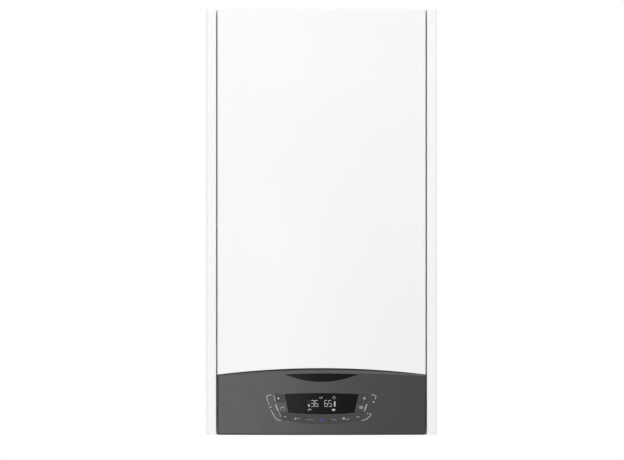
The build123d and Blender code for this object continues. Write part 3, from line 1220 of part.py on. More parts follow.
def diverter_actuator():
    x = -2 * PITCH
    motor = rod_z(x, PIPE_Y, (DIVERTER_TOP, DIVERTER_TOP + ACTUATOR_H), ACTUATOR_R)
    motor = fillet(motor.edges().sort_by(Axis.Z)[-1], CORNER_R)
    nose = (PIPE_Y - ACTUATOR_R - CORNER_R, PIPE_Y)
    side = (x - PLUG[1] / 2, x + PLUG[1] / 2)
    motor += block(side, nose, (DIVERTER_TOP + CORNER_R, DIVERTER_TOP + ACTUATOR_H / 2))
    return motor - rod_z(x, PIPE_Y, (DIVERTER_TOP, DIVERTER_TOP + ACTUATOR_BORE_H), STEM_R + STEM_CLEAR)


def diverter_stem():
    x = -2 * PITCH
    top = DIVERTER_TOP + ACTUATOR_BORE_H - STEM_TRAVEL - END_GAP
    stem = rod_z(x, PIPE_Y, (PLUG_Z[0], top), STEM_R)
    for z in PLUG_Z:
        stem += rod_z(x, PIPE_Y, (z, z + PLUG_T), BARREL_BORE - STEM_CLEAR)
    return stem


def relief_valve():
    valve = rod_y(RETURN_X, RELIEF_Z, (RELIEF_FRONT, VOLUTE_FRONT), RELIEF_R)
    radius, length = RELIEF_BONNET
    valve += rod_y(RETURN_X, RELIEF_Z, (RELIEF_FRONT - length, RELIEF_FRONT), radius)
    nozzle_r, nozzle_l = RELIEF_END
    valve += rod_z(RETURN_X, RELIEF_OUT_Y, (RELIEF_OUT_FOOT, RELIEF_Z), nozzle_r)
    valve += rod_z(RETURN_X, RELIEF_OUT_Y, (RELIEF_OUT_FOOT + nozzle_l, RELIEF_Z), RELIEF_OUT_R)
    valve -= rod_z(RETURN_X, RELIEF_OUT_Y, (RELIEF_OUT_FOOT, RELIEF_Z), nozzle_r - PIPE_WALL)
    stem_r, stem_l = RELIEF_STEM
    front = RELIEF_FRONT - length
    return valve - rod_y(RETURN_X, RELIEF_Z, (front, front + stem_l), stem_r + SHAFT_CLEAR)


def fluted_knob(radius, height):
    knob = Cylinder(radius, height)
    for index in range(KNOB_FLUTES):
        at = Vector(radius + FLUTE_R / 3, 0).rotate(Axis.Z, index * 360 / KNOB_FLUTES)
        knob -= Pos(at.X, at.Y, 0) * Cylinder(FLUTE_R, height)
    return knob


def relief_knob():
    radius, height = RELIEF_KNOB
    rear = RELIEF_FRONT - RELIEF_BONNET[1] - KNOB_GAP
    knob = Pos(RETURN_X, rear - height / 2, RELIEF_Z) * Rot(90, 0, 0) * fluted_knob(radius, height)
    stem_r, stem_l = RELIEF_STEM
    return knob + rod_y(RETURN_X, RELIEF_Z, (rear - height / 2, rear + stem_l - END_GAP), stem_r)


def filling_valve():
    radius, foot, top = FILL_BODY
    link = rod_x(PIPE_Y, FILL_Z, (COLD_X, RETURN_X), FILL_R)
    link -= rod_z(COLD_X, PIPE_Y, (foot, top), BARREL_SLIM + SNUG)
    link -= rod_z(RETURN_X, PIPE_Y, (foot, top), BARREL_R + SNUG)
    valve = link + rod_z(FILL_X, PIPE_Y, (foot, top), radius)
    return valve - rod_z(FILL_X, PIPE_Y, (foot, FILL_STEM_TOP + END_GAP), STEM_R + STEM_CLEAR)


def filling_knob():
    radius, foot, top = FILL_KNOB
    knob = block((-radius, radius), (-FILL_WING / 2, FILL_WING / 2), (foot, top))
    knob = fillet(knob.edges().filter_by(Axis.Z), FLUTE_R)
    knob += Pos(0, 0, top - FLUTE_R / 2) * Cylinder(FILL_WING, FLUTE_R)
    return Pos(FILL_X, PIPE_Y, 0) * knob + rod_z(FILL_X, PIPE_Y, (foot, FILL_STEM_TOP), STEM_R)


def flow_pipe():
    low = RISER_TOP + PIPE_LEAD
    high = STUB_FOOT - PIPE_LEAD
    route = [
        (FLOW_RISER_X, PIPE_Y, RISER_TOP),
        (FLOW_RISER_X, PIPE_Y, low),
        (FLOW_PORT_X, PIPE_Y, high),
        (FLOW_PORT_X, PIPE_Y, STUB_FOOT),
    ]
    return pipe(route, PIPE_BEND, PIPE_R, PIPE_WALL)


def return_pipe():
    low = RISER_TOP + PIPE_LEAD
    high = STUB_FOOT - PIPE_LEAD
    route = [
        (RETURN_RISER_X, PIPE_Y, RISER_TOP),
        (RETURN_RISER_X, PIPE_Y, low),
        (RETURN_PORT_X, PIPE_Y, high),
        (RETURN_PORT_X, PIPE_Y, STUB_FOOT),
    ]
    return pipe(route, PIPE_BEND, PIPE_R, PIPE_WALL)


def condensate_trap():
    foot, top = TRAP_Z
    body = rod_z(CELL_X, TRAP_Y, (foot, top - TRAP_CAP), TRAP_R)
    body += rod_z(CELL_X, TRAP_Y, (top - TRAP_CAP, top), TRAP_R + TRAP_WALL)
    nozzle_r, nozzle_l = TRAP_END
    body += rod_z(CELL_X, TRAP_Y, (TRAP_OUT_FOOT, foot), nozzle_r)
    body += rod_z(CELL_X, TRAP_Y, (TRAP_OUT_FOOT + nozzle_l, foot), TRAP_OUT_R)
    body -= rod_z(CELL_X, TRAP_Y, (foot + TRAP_WALL, top - TRAP_CAP), TRAP_R - TRAP_WALL)
    body -= rod_z(CELL_X, TRAP_Y, (TRAP_OUT_FOOT, foot + TRAP_WALL), nozzle_r - TRAP_WALL)
    hose = rod_z(CELL_X, TRAP_Y, (top, DRAIN_FOOT), DRAIN_R)
    hose -= rod_z(CELL_X, TRAP_Y, (top, DRAIN_FOOT), DRAIN_R - PIPE_WALL)
    return group([body, hose])


def wiring_harness():
    """three cables from the clip on the right-hand panel to their plugs"""
    low, top = CABLE_CLIP_Z
    clip = block((PANEL_IN - CLIP_W, PANEL_IN), (CABLE_Y - CLIP_D / 2, CABLE_Y + CLIP_D / 2), (low, top))
    fan_y = FAN_FRONT - MOTOR_L / 2
    fan_z = CELL_Z - MOTOR_R - PLUG[0]
    valve_x = VALVE_SIDE + PLUG[0] / 4
    valve_y = (VALVE_FRONT + VALVE_BACK) / 2
    valve_z = (VALVE_Z + VALVE_TOP - PLUG[1]) / 2
    cables = []
    for index, end in enumerate(((FAN_X, fan_y, fan_z), (valve_x, valve_y, valve_z))):
        x = CABLE_X - index * CABLE_STEP
        bend_z = end[2] - 2 * CABLE_BEND
        foot = (x, CABLE_Y, bend_z - CABLE_SLANT)
        route = [(x, CABLE_Y, top), foot, (end[0], end[1], bend_z), end]
        cables.append(pipe(route, CABLE_BEND, CABLE_R, 0))
    pump_x = CABLE_X - 2 * CABLE_STEP
    pump_z = PUMP_Z + CAN_R + TERMINAL[1] / 2
    route = [(pump_x, CABLE_Y, top), (pump_x, CABLE_Y, pump_z), (PUMP_X + TERMINAL[0] / 2, CABLE_Y, pump_z)]
    cables.append(pipe(route, CABLE_BEND, CABLE_R, 0))
    return group([clip] + cables)


def build_all():
    right_panel = side_panel()
    right_bracket = hinge_bracket()
    nodes = {
        "back_frame": back_frame(),
        "right_side_panel": right_panel,
        "left_side_panel": mirrored(right_panel),
        "top_panel": top_panel(),
        "bottom_rail": bottom_rail(),
        "hinge_brackets": group([right_bracket, mirrored(right_bracket)]),
        "casing_screws": casing_screws(),
        "front_cover": front_cover(),
        "cover_screws": cover_screws(),
        "control_fascia": control_fascia(),
        "control_box": control_box(),
        "badge_insert": badge_insert(),
        "display_lens": display_lens(),
        "display_module": display_module(),
        "main_pcb": main_pcb(),
        "air_intake_collar": air_intake_collar(),
        "test_point_caps": test_point_caps(),
        "flue_duct": flue_duct(),
        "exchanger_shell": exchanger_shell(),
        "exchanger_coil": exchanger_coil(),
        "burner_door": burner_door(),
        "burner_tube": burner_tube(),
        "door_nuts": door_nuts(),
        "electrodes": electrodes(),
        "fan_housing": fan_housing(),
        "fan_motor": fan_motor(),
        "fan_impeller": fan_impeller(),
        "gas_mixer": gas_mixer(),
        "gas_valve": gas_valve(),
        "gas_pipe": gas_pipe(),
        "air_inlet_tube": air_inlet_tube(),
        "expansion_vessel": expansion_vessel(),
        "vessel_hose": vessel_hose(),
        "connection_tails": connection_tails(),
        "plate_exchanger": plate_exchanger(),
        "pump_body": pump_body(),
        "pump_motor": pump_motor(),
        "pump_rotor": pump_rotor(),
        "flow_turbine": flow_turbine(),
        "air_vent": air_vent(),
        "diverter_body": diverter_body(),
        "diverter_actuator": diverter_actuator(),
        "diverter_stem": diverter_stem(),
        "relief_valve": relief_valve(),
        "relief_knob": relief_knob(),
        "filling_valve": filling_valve(),
        "filling_knob": filling_knob(),
        "flow_pipe": flow_pipe(),
        "return_pipe": return_pipe(),
        "condensate_trap": condensate_trap(),
        "wiring_harness": wiring_harness(),
    }
    for name, outline in key_cells().items():
        nodes[name] = push_key(outline)
    return nodes


os.makedirs("parts", exist_ok=True)
for name, shape in build_all().items():
    export_step(shape, os.path.join("parts", name + ".step"))
    print(name, len(shape.solids()), round(shape.volume))
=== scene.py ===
import json
import math

import bmesh
import bpy
from mathutils import Matrix, Vector


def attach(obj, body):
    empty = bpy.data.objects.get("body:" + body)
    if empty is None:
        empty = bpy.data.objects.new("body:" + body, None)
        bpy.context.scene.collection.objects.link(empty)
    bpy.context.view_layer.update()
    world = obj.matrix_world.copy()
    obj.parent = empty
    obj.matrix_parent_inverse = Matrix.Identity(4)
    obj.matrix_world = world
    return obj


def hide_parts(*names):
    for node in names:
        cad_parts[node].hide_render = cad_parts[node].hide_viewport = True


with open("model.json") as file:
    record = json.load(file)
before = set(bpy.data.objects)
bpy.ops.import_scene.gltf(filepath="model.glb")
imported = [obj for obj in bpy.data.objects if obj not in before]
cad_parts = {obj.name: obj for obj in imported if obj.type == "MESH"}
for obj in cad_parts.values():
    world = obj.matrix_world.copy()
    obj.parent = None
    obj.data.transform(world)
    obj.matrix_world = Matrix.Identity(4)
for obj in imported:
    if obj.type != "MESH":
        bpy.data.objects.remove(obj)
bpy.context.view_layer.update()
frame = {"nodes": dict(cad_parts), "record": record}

nodes = frame["nodes"]
mm = 0.001
print("frame loaded:", len(nodes), "nodes")


# node and surface helpers

def addNode(tree, kind, settings=None, **inputs):
    # an input is named, or given by its number as i0, i1, ...
    made = tree.nodes.new("ShaderNode" + kind)
    for name, value in (settings or {}).items():
        setattr(made, name, value)
    for name, value in inputs.items():
        numbered = name[0] == "i" and name[1:].isdigit()
        socket = made.inputs[int(name[1:])] if numbered else made.inputs[name]
        if isinstance(value, bpy.types.NodeSocket):
            tree.links.new(value, socket)
        else:
            socket.default_value = value
    return made


def startSurface(name, colour, roughness, metallic=0.0, **extra):
    material = bpy.data.materials.new(name)
    material.use_nodes = True
    tree = material.node_tree
    shader = tree.nodes["Principled BSDF"]
    shader.inputs["Base Color"].default_value = (*colour, 1)
    shader.inputs["Roughness"].default_value = roughness
    shader.inputs["Metallic"].default_value = metallic
    for socket, value in extra.items():
        shader.inputs[socket.replace("_", " ")].default_value = value
    return material, tree, shader


def objectPlace(tree, stretch=(1, 1, 1)):
    place = addNode(tree, "TexCoord").outputs["Object"]
    return addNode(tree, "Mapping", Vector=place, Scale=stretch).outputs["Vector"]


def cloud(tree, place, scale, detail=3.0, rough=0.55, swirl=0.0):
    made = addNode(tree, "TexNoise", Vector=place, Scale=scale, Detail=detail,
                   Roughness=rough, Distortion=swirl)
    return made.outputs["Fac"]


def spread(tree, value, low, high, fromLow=0.3, fromHigh=0.7):
    made = addNode(tree, "MapRange", i0=value, i1=fromLow, i2=fromHigh, i3=low, i4=high)
    return made.outputs["Result"]


def tint(tree, amount, first, second):
    made = addNode(tree, "Mix", {"data_type": "RGBA"}, i0=amount)
    for index, colour in ((6, first), (7, second)):
        if isinstance(colour, bpy.types.NodeSocket):
            tree.links.new(colour, made.inputs[index])
        else:
            made.inputs[index].default_value = (*colour, 1)
    return made.outputs[2]


def lifted(colour, times, plus=0.0):
    return tuple(min(1.0, times * c + plus) for c in colour)


wear = {"samples": 4, "from": 0.75, "to": 0.985}


def edgeWear(tree, radius):
    # 1 along edges and corners, 0 on the flats
    soft = addNode(tree, "Bevel", {"samples": wear["samples"]}, Radius=radius).outputs["Normal"]
    true = addNode(tree, "NewGeometry").outputs["Normal"]
    same = addNode(tree, "VectorMath", {"operation": "DOT_PRODUCT"}, i0=soft, i1=true).outputs["Value"]
    return spread(tree, same, 1.0, 0.0, fromLow=wear["from"], fromHigh=wear["to"])


def rubEdges(tree, body, colour, radius, most=1.0):
    worn = edgeWear(tree, radius)
    if most < 1.0:
        worn = spread(tree, worn, 0.0, most, fromLow=0.0, fromHigh=1.0)
    return tint(tree, worn, body, colour)


def relief(tree, shader, height, depth, strength, under=None):
    made = addNode(tree, "Bump", Height=height, Distance=depth, Strength=strength)
    if under is not None:
        tree.links.new(under, made.inputs["Normal"])
    tree.links.new(made.outputs["Normal"], shader.inputs["Normal"])
    return made.outputs["Normal"]


def plug(tree, shader, **sockets):
    for name, value in sockets.items():
        tree.links.new(value, shader.inputs[name.replace("_", " ")])


# finishes: "polish" is the range of roughness, "edge" the radius that wears, a share the most
# that a colour shows; "mottle", "smudge" and "grain" scale the colour, the gloss and the relief

enamel = {"colour": (0.885, 0.885, 0.885), "shade": (0.855, 0.855, 0.85), "worn": (0.80, 0.80, 0.79),
          "shadeShare": 0.4, "wornShare": 0.35, "edge": 0.0007, "roughness": 0.3, "smoother": 0.02,
          "matter": 0.03, "mirror": 0.28, "mottle": 4.0, "smudge": 9.0, "grain": 620.0,
          "grainDepth": 0.00004}


def whiteEnamel():
    material, tree, shader = startSurface("whiteEnamel", enamel["colour"], enamel["roughness"],
                                          Specular_IOR_Level=enamel["mirror"])
    place = objectPlace(tree)
    drift = cloud(tree, place, enamel["mottle"], detail=1.0)
    shaded = spread(tree, drift, 0.0, enamel["shadeShare"])
    body = tint(tree, shaded, enamel["colour"], enamel["shade"])
    body = rubEdges(tree, body, enamel["worn"], enamel["edge"], enamel["wornShare"])
    smudge = cloud(tree, place, enamel["smudge"], detail=1.0)
    gloss = spread(tree, smudge, enamel["roughness"] - enamel["smoother"],
                   enamel["roughness"] + enamel["matter"])
    plug(tree, shader, Base_Color=body, Roughness=gloss)
    peel = cloud(tree, place, enamel["grain"], detail=2.0, rough=0.5)
    relief(tree, shader, peel, enamel["grainDepth"], strength=0.25)
    return material


zinc = {"light": (0.66, 0.675, 0.69), "dark": (0.55, 0.565, 0.58), "stain": (0.45, 0.46, 0.47),
        "worn": (0.83, 0.84, 0.85), "stainShare": 0.45, "wornShare": 0.6, "edge": 0.0006,
        "roughness": 0.4, "polish": (0.34, 0.48), "spangle": 150.0, "spangleDepth": 0.00006,
        "ripple": 60.0, "bend": 0.012, "mottle": 9.0, "grain": 900.0, "grainDepth": 0.00002}


def zincSheet():
    material, tree, shader = startSurface("zincSheet", zinc["light"], zinc["roughness"], 1.0)
    place = objectPlace(tree)
    ripple = addNode(tree, "TexNoise", Vector=place, Scale=zinc["ripple"], Detail=2.0).outputs["Color"]
    bent = addNode(tree, "VectorMath", {"operation": "MULTIPLY_ADD"}, i0=ripple,
                   i1=(zinc["bend"],) * 3, i2=place)
    crystal = addNode(tree, "TexVoronoi", Vector=bent.outputs["Vector"], Scale=zinc["spangle"])
    tone = addNode(tree, "SeparateColor", i0=crystal.outputs["Color"])
    grain = cloud(tree, place, zinc["grain"], detail=2.0)
    body = tint(tree, tone.outputs[0], zinc["light"], zinc["dark"])
    blotch = cloud(tree, place, zinc["mottle"], detail=5.0, rough=0.6, swirl=0.6)
    stained = spread(tree, blotch, 0.0, zinc["stainShare"], fromLow=0.52, fromHigh=0.75)
    body = tint(tree, stained, body, zinc["stain"])
    body = rubEdges(tree, body, zinc["worn"], zinc["edge"], zinc["wornShare"])
    gloss = spread(tree, tone.outputs[1], *zinc["polish"], fromLow=0.0, fromHigh=1.0)
    plug(tree, shader, Base_Color=body, Roughness=gloss)
    coarse = relief(tree, shader, tone.outputs[2], zinc["spangleDepth"], strength=0.25)
    relief(tree, shader, grain, zinc["grainDepth"], strength=0.4, under=coarse)
    return material


plating = {"colour": (0.66, 0.67, 0.68), "light": (0.70, 0.71, 0.72), "dark": (0.55, 0.55, 0.53),
           "worn": (0.82, 0.82, 0.82), "edge": 0.0003, "roughness": 0.32, "polish": (0.24, 0.42),
           "mottle": 240.0, "smudge": 500.0, "grain": 1500.0, "grainDepth": 0.00002}


def platedScrew():
    material, tree, shader = startSurface("platedScrew", plating["colour"], plating["roughness"], 1.0)
    place = objectPlace(tree)
    body = tint(tree, cloud(tree, place, plating["mottle"]), plating["light"], plating["dark"])
    body = rubEdges(tree, body, plating["worn"], plating["edge"])
    gloss = spread(tree, cloud(tree, place, plating["smudge"]), *plating["polish"])
    plug(tree, shader, Base_Color=body, Roughness=gloss)
    relief(tree, shader, cloud(tree, place, plating["grain"]), plating["grainDepth"], strength=0.3)
    return material


brushed = {"colour": (0.67, 0.665, 0.655), "dark": (0.54, 0.535, 0.52), "heated": (0.60, 0.52, 0.42),
           "heatedShare": 0.3, "roughness": 0.3, "polish": (0.24, 0.42), "stretch": (1.0, 0.04, 1.0),
           "mottle": 11.0, "grain": 900.0, "grainDepth": 0.00003}


def brushedSteel():
    material, tree, shader = startSurface("brushedSteel", brushed["colour"], brushed["roughness"], 1.0)
    fine = objectPlace(tree, brushed["stretch"])
    place = objectPlace(tree)
    scratch = cloud(tree, fine, brushed["grain"], rough=0.6)
    heat = cloud(tree, place, brushed["mottle"], rough=0.5, swirl=0.4)
    body = tint(tree, scratch, brushed["colour"], brushed["dark"])
    stained = spread(tree, heat, 0.0, brushed["heatedShare"], fromLow=0.5, fromHigh=0.72)
    body = tint(tree, stained, body, brushed["heated"])
    plug(tree, shader, Base_Color=body, Roughness=spread(tree, scratch, *brushed["polish"]))
    relief(tree, shader, scratch, brushed["grainDepth"], strength=0.35)
    return material


casting = {"colour": (0.48, 0.49, 0.50), "light": (0.51, 0.52, 0.53), "dark": (0.38, 0.39, 0.40),
           "worn": (0.72, 0.73, 0.74), "edge": 0.0008, "roughness": 0.5, "polish": (0.42, 0.62),
           "mottle": 30.0, "grain": 850.0, "grainDepth": 0.00012}


def castAluminium():
    material, tree, shader = startSurface("castAluminium", casting["colour"], casting["roughness"], 1.0)
    place = objectPlace(tree)
    grain = cloud(tree, place, casting["grain"], detail=4.0, rough=0.7)
    mottle = cloud(tree, place, casting["mottle"], detail=4.0)
    body = tint(tree, mottle, casting["light"], casting["dark"])
    body = rubEdges(tree, body, casting["worn"], casting["edge"])
    plug(tree, shader, Base_Color=body, Roughness=spread(tree, grain, *casting["polish"]))
    relief(tree, shader, grain, casting["grainDepth"], strength=0.4)
    return material


copper = {"colour": (0.80, 0.44, 0.30), "light": (0.84, 0.47, 0.33), "dark": (0.46, 0.24, 0.16),
          "drawn": (0.92, 0.62, 0.48), "drawnShare": 0.3, "roughness": 0.32, "polish": (0.24, 0.48),
          "mottle": 26.0, "stretch": (1.0, 1.0, 0.06), "grain": 700.0, "grainDepth": 0.00003}


def copperTube():
    material, tree, shader = startSurface("copperTube", copper["colour"], copper["roughness"], 1.0)
    place = objectPlace(tree)
    drawn = cloud(tree, objectPlace(tree, copper["stretch"]), copper["grain"])
    tarnish = cloud(tree, place, copper["mottle"], detail=5.0, rough=0.62, swirl=0.8)
    dull = spread(tree, tarnish, 0.0, 1.0, fromLow=0.38, fromHigh=0.72)
    body = tint(tree, dull, copper["light"], copper["dark"])
    body = tint(tree, spread(tree, drawn, 0.0, copper["drawnShare"]), body, copper["drawn"])
    plug(tree, shader, Base_Color=body, Roughness=spread(tree, tarnish, *copper["polish"]))
    relief(tree, shader, drawn, copper["grainDepth"], strength=0.3)
    return material


brass = {"colour": (0.80, 0.63, 0.34), "light": (0.84, 0.67, 0.37), "dark": (0.56, 0.42, 0.20),
         "worn": (0.93, 0.80, 0.52), "edge": 0.0005, "roughness": 0.33, "polish": (0.26, 0.46),
         "mottle": 34.0, "grain": 1100.0, "grainDepth": 0.00006}


def turnedBrass():
    material, tree, shader = startSurface("turnedBrass", brass["colour"], brass["roughness"], 1.0)
    place = objectPlace(tree)
    tarnish = cloud(tree, place, brass["mottle"], detail=4.0, rough=0.6, swirl=0.5)
    grain = cloud(tree, place, brass["grain"], rough=0.7)
    dull = spread(tree, tarnish, 0.0, 1.0, fromLow=0.4, fromHigh=0.7)
    body = tint(tree, dull, brass["light"], brass["dark"])
    body = rubEdges(tree, body, brass["worn"], brass["edge"])
    plug(tree, shader, Base_Color=body, Roughness=spread(tree, grain, *brass["polish"]))
    relief(tree, shader, grain, brass["grainDepth"], strength=0.3)
    return material


vessel = {"colour": (0.50, 0.045, 0.035), "light": (0.52, 0.047, 0.036), "dark": (0.40, 0.03, 0.025),
          "worn": (0.30, 0.05, 0.04), "wornShare": 0.5, "edge": 0.0008, "roughness": 0.34,
          "polish": (0.28, 0.42), "coat": 0.25, "mottle": 14.0, "smudge": 45.0, "grain": 480.0,
          "grainDepth": 0.00006}


def vesselPaint():
    material, tree, shader = startSurface("vesselPaint", vessel["colour"], vessel["roughness"],
                                          Coat_Weight=vessel["coat"])
    place = objectPlace(tree)
    body = tint(tree, cloud(tree, place, vessel["mottle"]), vessel["light"], vessel["dark"])
    body = rubEdges(tree, body, vessel["worn"], vessel["edge"], vessel["wornShare"])
    gloss = spread(tree, cloud(tree, place, vessel["smudge"]), *vessel["polish"])
    plug(tree, shader, Base_Color=body, Roughness=gloss)
    peel = cloud(tree, place, vessel["grain"], detail=2.0)
    relief(tree, shader, peel, vessel["grainDepth"], strength=0.4)
    return material


plastic = {"lighter": (1.12, 0.004), "darker": (0.88, 0.0), "worn": (1.35, 0.02), "wornShare": 0.7,
           "edge": 0.0005, "smoother": 0.07, "matter": 0.08, "mottle": 38.0, "grain": 1700.0}


def moulded(name, colour, roughness, grainDepth=0.00005):
    # a moulded plastic: fine spark texture, slight flow marks, polished edges
    material, tree, shader = startSurface(name, colour, roughness)
    place = objectPlace(tree)
    flow = cloud(tree, place, plastic["mottle"], detail=4.0, rough=0.6, swirl=0.3)
    body = tint(tree, flow, lifted(colour, *plastic["lighter"]), lifted(colour, *plastic["darker"]))
    worn = lifted(colour, *plastic["worn"])
    body = rubEdges(tree, body, worn, plastic["edge"], plastic["wornShare"])
    grain = cloud(tree, place, plastic["grain"], detail=2.0, rough=0.6)
    gloss = spread(tree, grain, roughness - plastic["smoother"], roughness + plastic["matter"])
    plug(tree, shader, Base_Color=body, Roughness=gloss)
    relief(tree, shader, grain, grainDepth, strength=0.35)
    return material


fascia = {"colour": (0.020, 0.020, 0.020), "shade": (0.017, 0.017, 0.017), "worn": (0.055, 0.055, 0.055),
          "wornShare": 0.4, "edge": 0.0005, "roughness": 0.36, "smoother": 0.03, "matter": 0.04,
          "speckle": 0.03, "mottle": 18.0, "smudge": 30.0, "grain": 2100.0, "grainDepth": 0.00003}


def satinFascia(name, lift, matt, level):
    # the panel's fine satin texture; the keys are a touch lighter and more matt
    colour = lifted(fascia["colour"], lift)
    middle = fascia["roughness"] + matt
    material, tree, shader = startSurface(name, colour, middle, Specular_IOR_Level=level)
    place = objectPlace(tree)
    body = tint(tree, cloud(tree, place, fascia["mottle"]), colour, lifted(fascia["shade"], lift))
    body = rubEdges(tree, body, fascia["worn"], fascia["edge"], fascia["wornShare"])
    grain = cloud(tree, place, fascia["grain"], detail=2.0, rough=0.6)
    smudge = cloud(tree, place, fascia["smudge"], detail=5.0, rough=0.6, swirl=0.5)
    fine = spread(tree, grain, -fascia["speckle"], fascia["speckle"])
    coarse = spread(tree, smudge, middle - fascia["smoother"], middle + fascia["matter"])
    gloss = addNode(tree, "Math", {"operation": "ADD"}, i0=fine, i1=coarse).outputs[0]
    plug(tree, shader, Base_Color=body, Roughness=gloss)
    relief(tree, shader, grain, fascia["grainDepth"], strength=0.3)
    return material


inlay = {"dust": (0.06, 0.06, 0.06), "dustShare": 0.5, "specks": 1400.0, "roughness": 0.16,
         "polish": (0.12, 0.22), "smudge": 42.0, "smudgeDepth": 0.00001}


def blackGloss(name, colour, level):
    material, tree, shader = startSurface(name, colour, inlay["roughness"], Specular_IOR_Level=level)
    place = objectPlace(tree)
    smudge = cloud(tree, place, inlay["smudge"], detail=5.0, rough=0.62, swirl=0.8)
    specks = cloud(tree, place, inlay["specks"], detail=2.0)
    dust = spread(tree, specks, 0.0, inlay["dustShare"], fromLow=0.66, fromHigh=0.8)
    body = tint(tree, dust, colour, inlay["dust"])
    plug(tree, shader, Base_Color=body, Roughness=spread(tree, smudge, *inlay["polish"]))
    relief(tree, shader, smudge, inlay["smudgeDepth"], strength=0.2)
    return material


board = {"colour": (0.02, 0.13, 0.06), "base": (0.018, 0.12, 0.055), "track": (0.06, 0.24, 0.12),
         "roughness": 0.3, "polish": (0.24, 0.4), "coat": 0.3, "smudge": 300.0, "trackScale": 110.0,
         "trackWidth": 0.06, "trackDepth": 0.00003}


def solderMask():
    material, tree, shader = startSurface("solderMask", board["colour"], board["roughness"],
                                          Coat_Weight=board["coat"])
    place = objectPlace(tree)
    turned = addNode(tree, "Mapping", Vector=place, Rotation=(math.radians(90), 0, 0)).outputs["Vector"]
    tracks = addNode(tree, "TexBrick", Vector=turned, Scale=board["trackScale"],
                     i5=board["trackWidth"]).outputs["Fac"]
    body = tint(tree, tracks, board["base"], board["track"])
    gloss = spread(tree, cloud(tree, place, board["smudge"]), *board["polish"])
    plug(tree, shader, Base_Color=body, Roughness=gloss)
    relief(tree, shader, tracks, board["trackDepth"], strength=0.4)
    return material


ceramic = {"colour": (0.86, 0.85, 0.81), "light": (0.87, 0.86, 0.82), "dark": (0.78, 0.76, 0.71),
           "roughness": 0.16, "polish": (0.12, 0.28), "coat": 0.4, "mottle": 120.0, "smudge": 260.0,
           "grain": 700.0, "grainDepth": 0.00003}


def glazedCeramic():
    material, tree, shader = startSurface("glazedCeramic", ceramic["colour"], ceramic["roughness"],
                                          Coat_Weight=ceramic["coat"])
    place = objectPlace(tree)
    body = tint(tree, cloud(tree, place, ceramic["mottle"]), ceramic["light"], ceramic["dark"])
    gloss = spread(tree, cloud(tree, place, ceramic["smudge"]), *ceramic["polish"])
    plug(tree, shader, Base_Color=body, Roughness=gloss)
    relief(tree, shader, cloud(tree, place, ceramic["grain"]), ceramic["grainDepth"], strength=0.3)
    return material


ink = {"roughness": 0.45, "polish": (0.38, 0.55), "faded": 0.72, "fadedShare": 0.35, "grain": 1900.0,
       "grainDepth": 0.00001, "glow": (0.6, 0.6, 0.6), "glowShare": 0.12}


def paleInk(name, colour, glow=0.0):
    material, tree, shader = startSurface(name, colour, ink["roughness"])
    place = objectPlace(tree)
    grain = cloud(tree, place, ink["grain"], rough=0.7)
    faded = spread(tree, grain, 0.0, ink["fadedShare"])
    body = tint(tree, faded, colour, lifted(colour, ink["faded"]))
    plug(tree, shader, Base_Color=body, Roughness=spread(tree, grain, *ink["polish"]))
    relief(tree, shader, grain, ink["grainDepth"], strength=0.3)
    if glow:
        shader.inputs["Emission Strength"].default_value = glow
        glowing = tint(tree, spread(tree, grain, 0.0, ink["glowShare"]), colour, ink["glow"])
        plug(tree, shader, Emission_Color=glowing)
    return material


finishes = {
    "white_enamel": whiteEnamel(),
    "zinc_sheet": zincSheet(),
    "zinc_screw": platedScrew(),
    "stainless": brushedSteel(),
    "cast_aluminium": castAluminium(),
    "copper": copperTube(),
    "brass": turnedBrass(),
    "vessel_red": vesselPaint(),
    "fascia_grey": satinFascia("satinFascia", 1.0, 0.0, 0.62),
    "key_grey": satinFascia("mattKeys", 1.5, 0.25, 0.5),
    "lens_black": blackGloss("lensBlack", (0.0035, 0.0035, 0.004), 0.1),
    "badge_black": blackGloss("badgeBlack", (0.0035, 0.0035, 0.0035), 0.1),
    "display_glass": blackGloss("displayUnit", (0.02, 0.025, 0.025), 0.5),
    "board_green": solderMask(),
    "box_black": moulded("boxBlack", (0.035, 0.035, 0.036), 0.5),
    "black_plastic": moulded("blackPlastic", (0.022, 0.022, 0.023), 0.46),
    "motor_black": moulded("motorPaint", (0.03, 0.03, 0.032), 0.36, grainDepth=0.00008),
    "pale_plastic": moulded("palePlastic", (0.70, 0.71, 0.70), 0.42),
    "red_plastic": moulded("redPlastic", (0.58, 0.03, 0.025), 0.38),
    "blue_plastic": moulded("bluePlastic", (0.04, 0.11, 0.45), 0.38),
    "rubber_black": moulded("rubberBlack", (0.02, 0.02, 0.02), 0.68, grainDepth=0.0001),
    "ceramic_white": glazedCeramic(),
}
for part in frame["record"]["subparts"]:
    mesh = nodes[part["node"]].data
    mesh.materials.clear()
    mesh.materials.append(finishes[part["material_slot"]])
print("finishes on the CAD nodes:", len(finishes))


# the bowed front, and thin prints that follow it

bow = {"front": -0.319, "halfWidth": 0.1808, "rise": 0.012, "keyProud": 0.0006}
bowRadius = (bow["halfWidth"] ** 2 + bow["rise"] ** 2) / (2 * bow["rise"])
pen = {"halfWidth": 0.5, "roundness": 2, "weld": 1e-7}


def frontAt(x, proud=0.0):
    return bow["front"] + bowRadius - math.sqrt((bowRadius + proud) ** 2 - x * x)


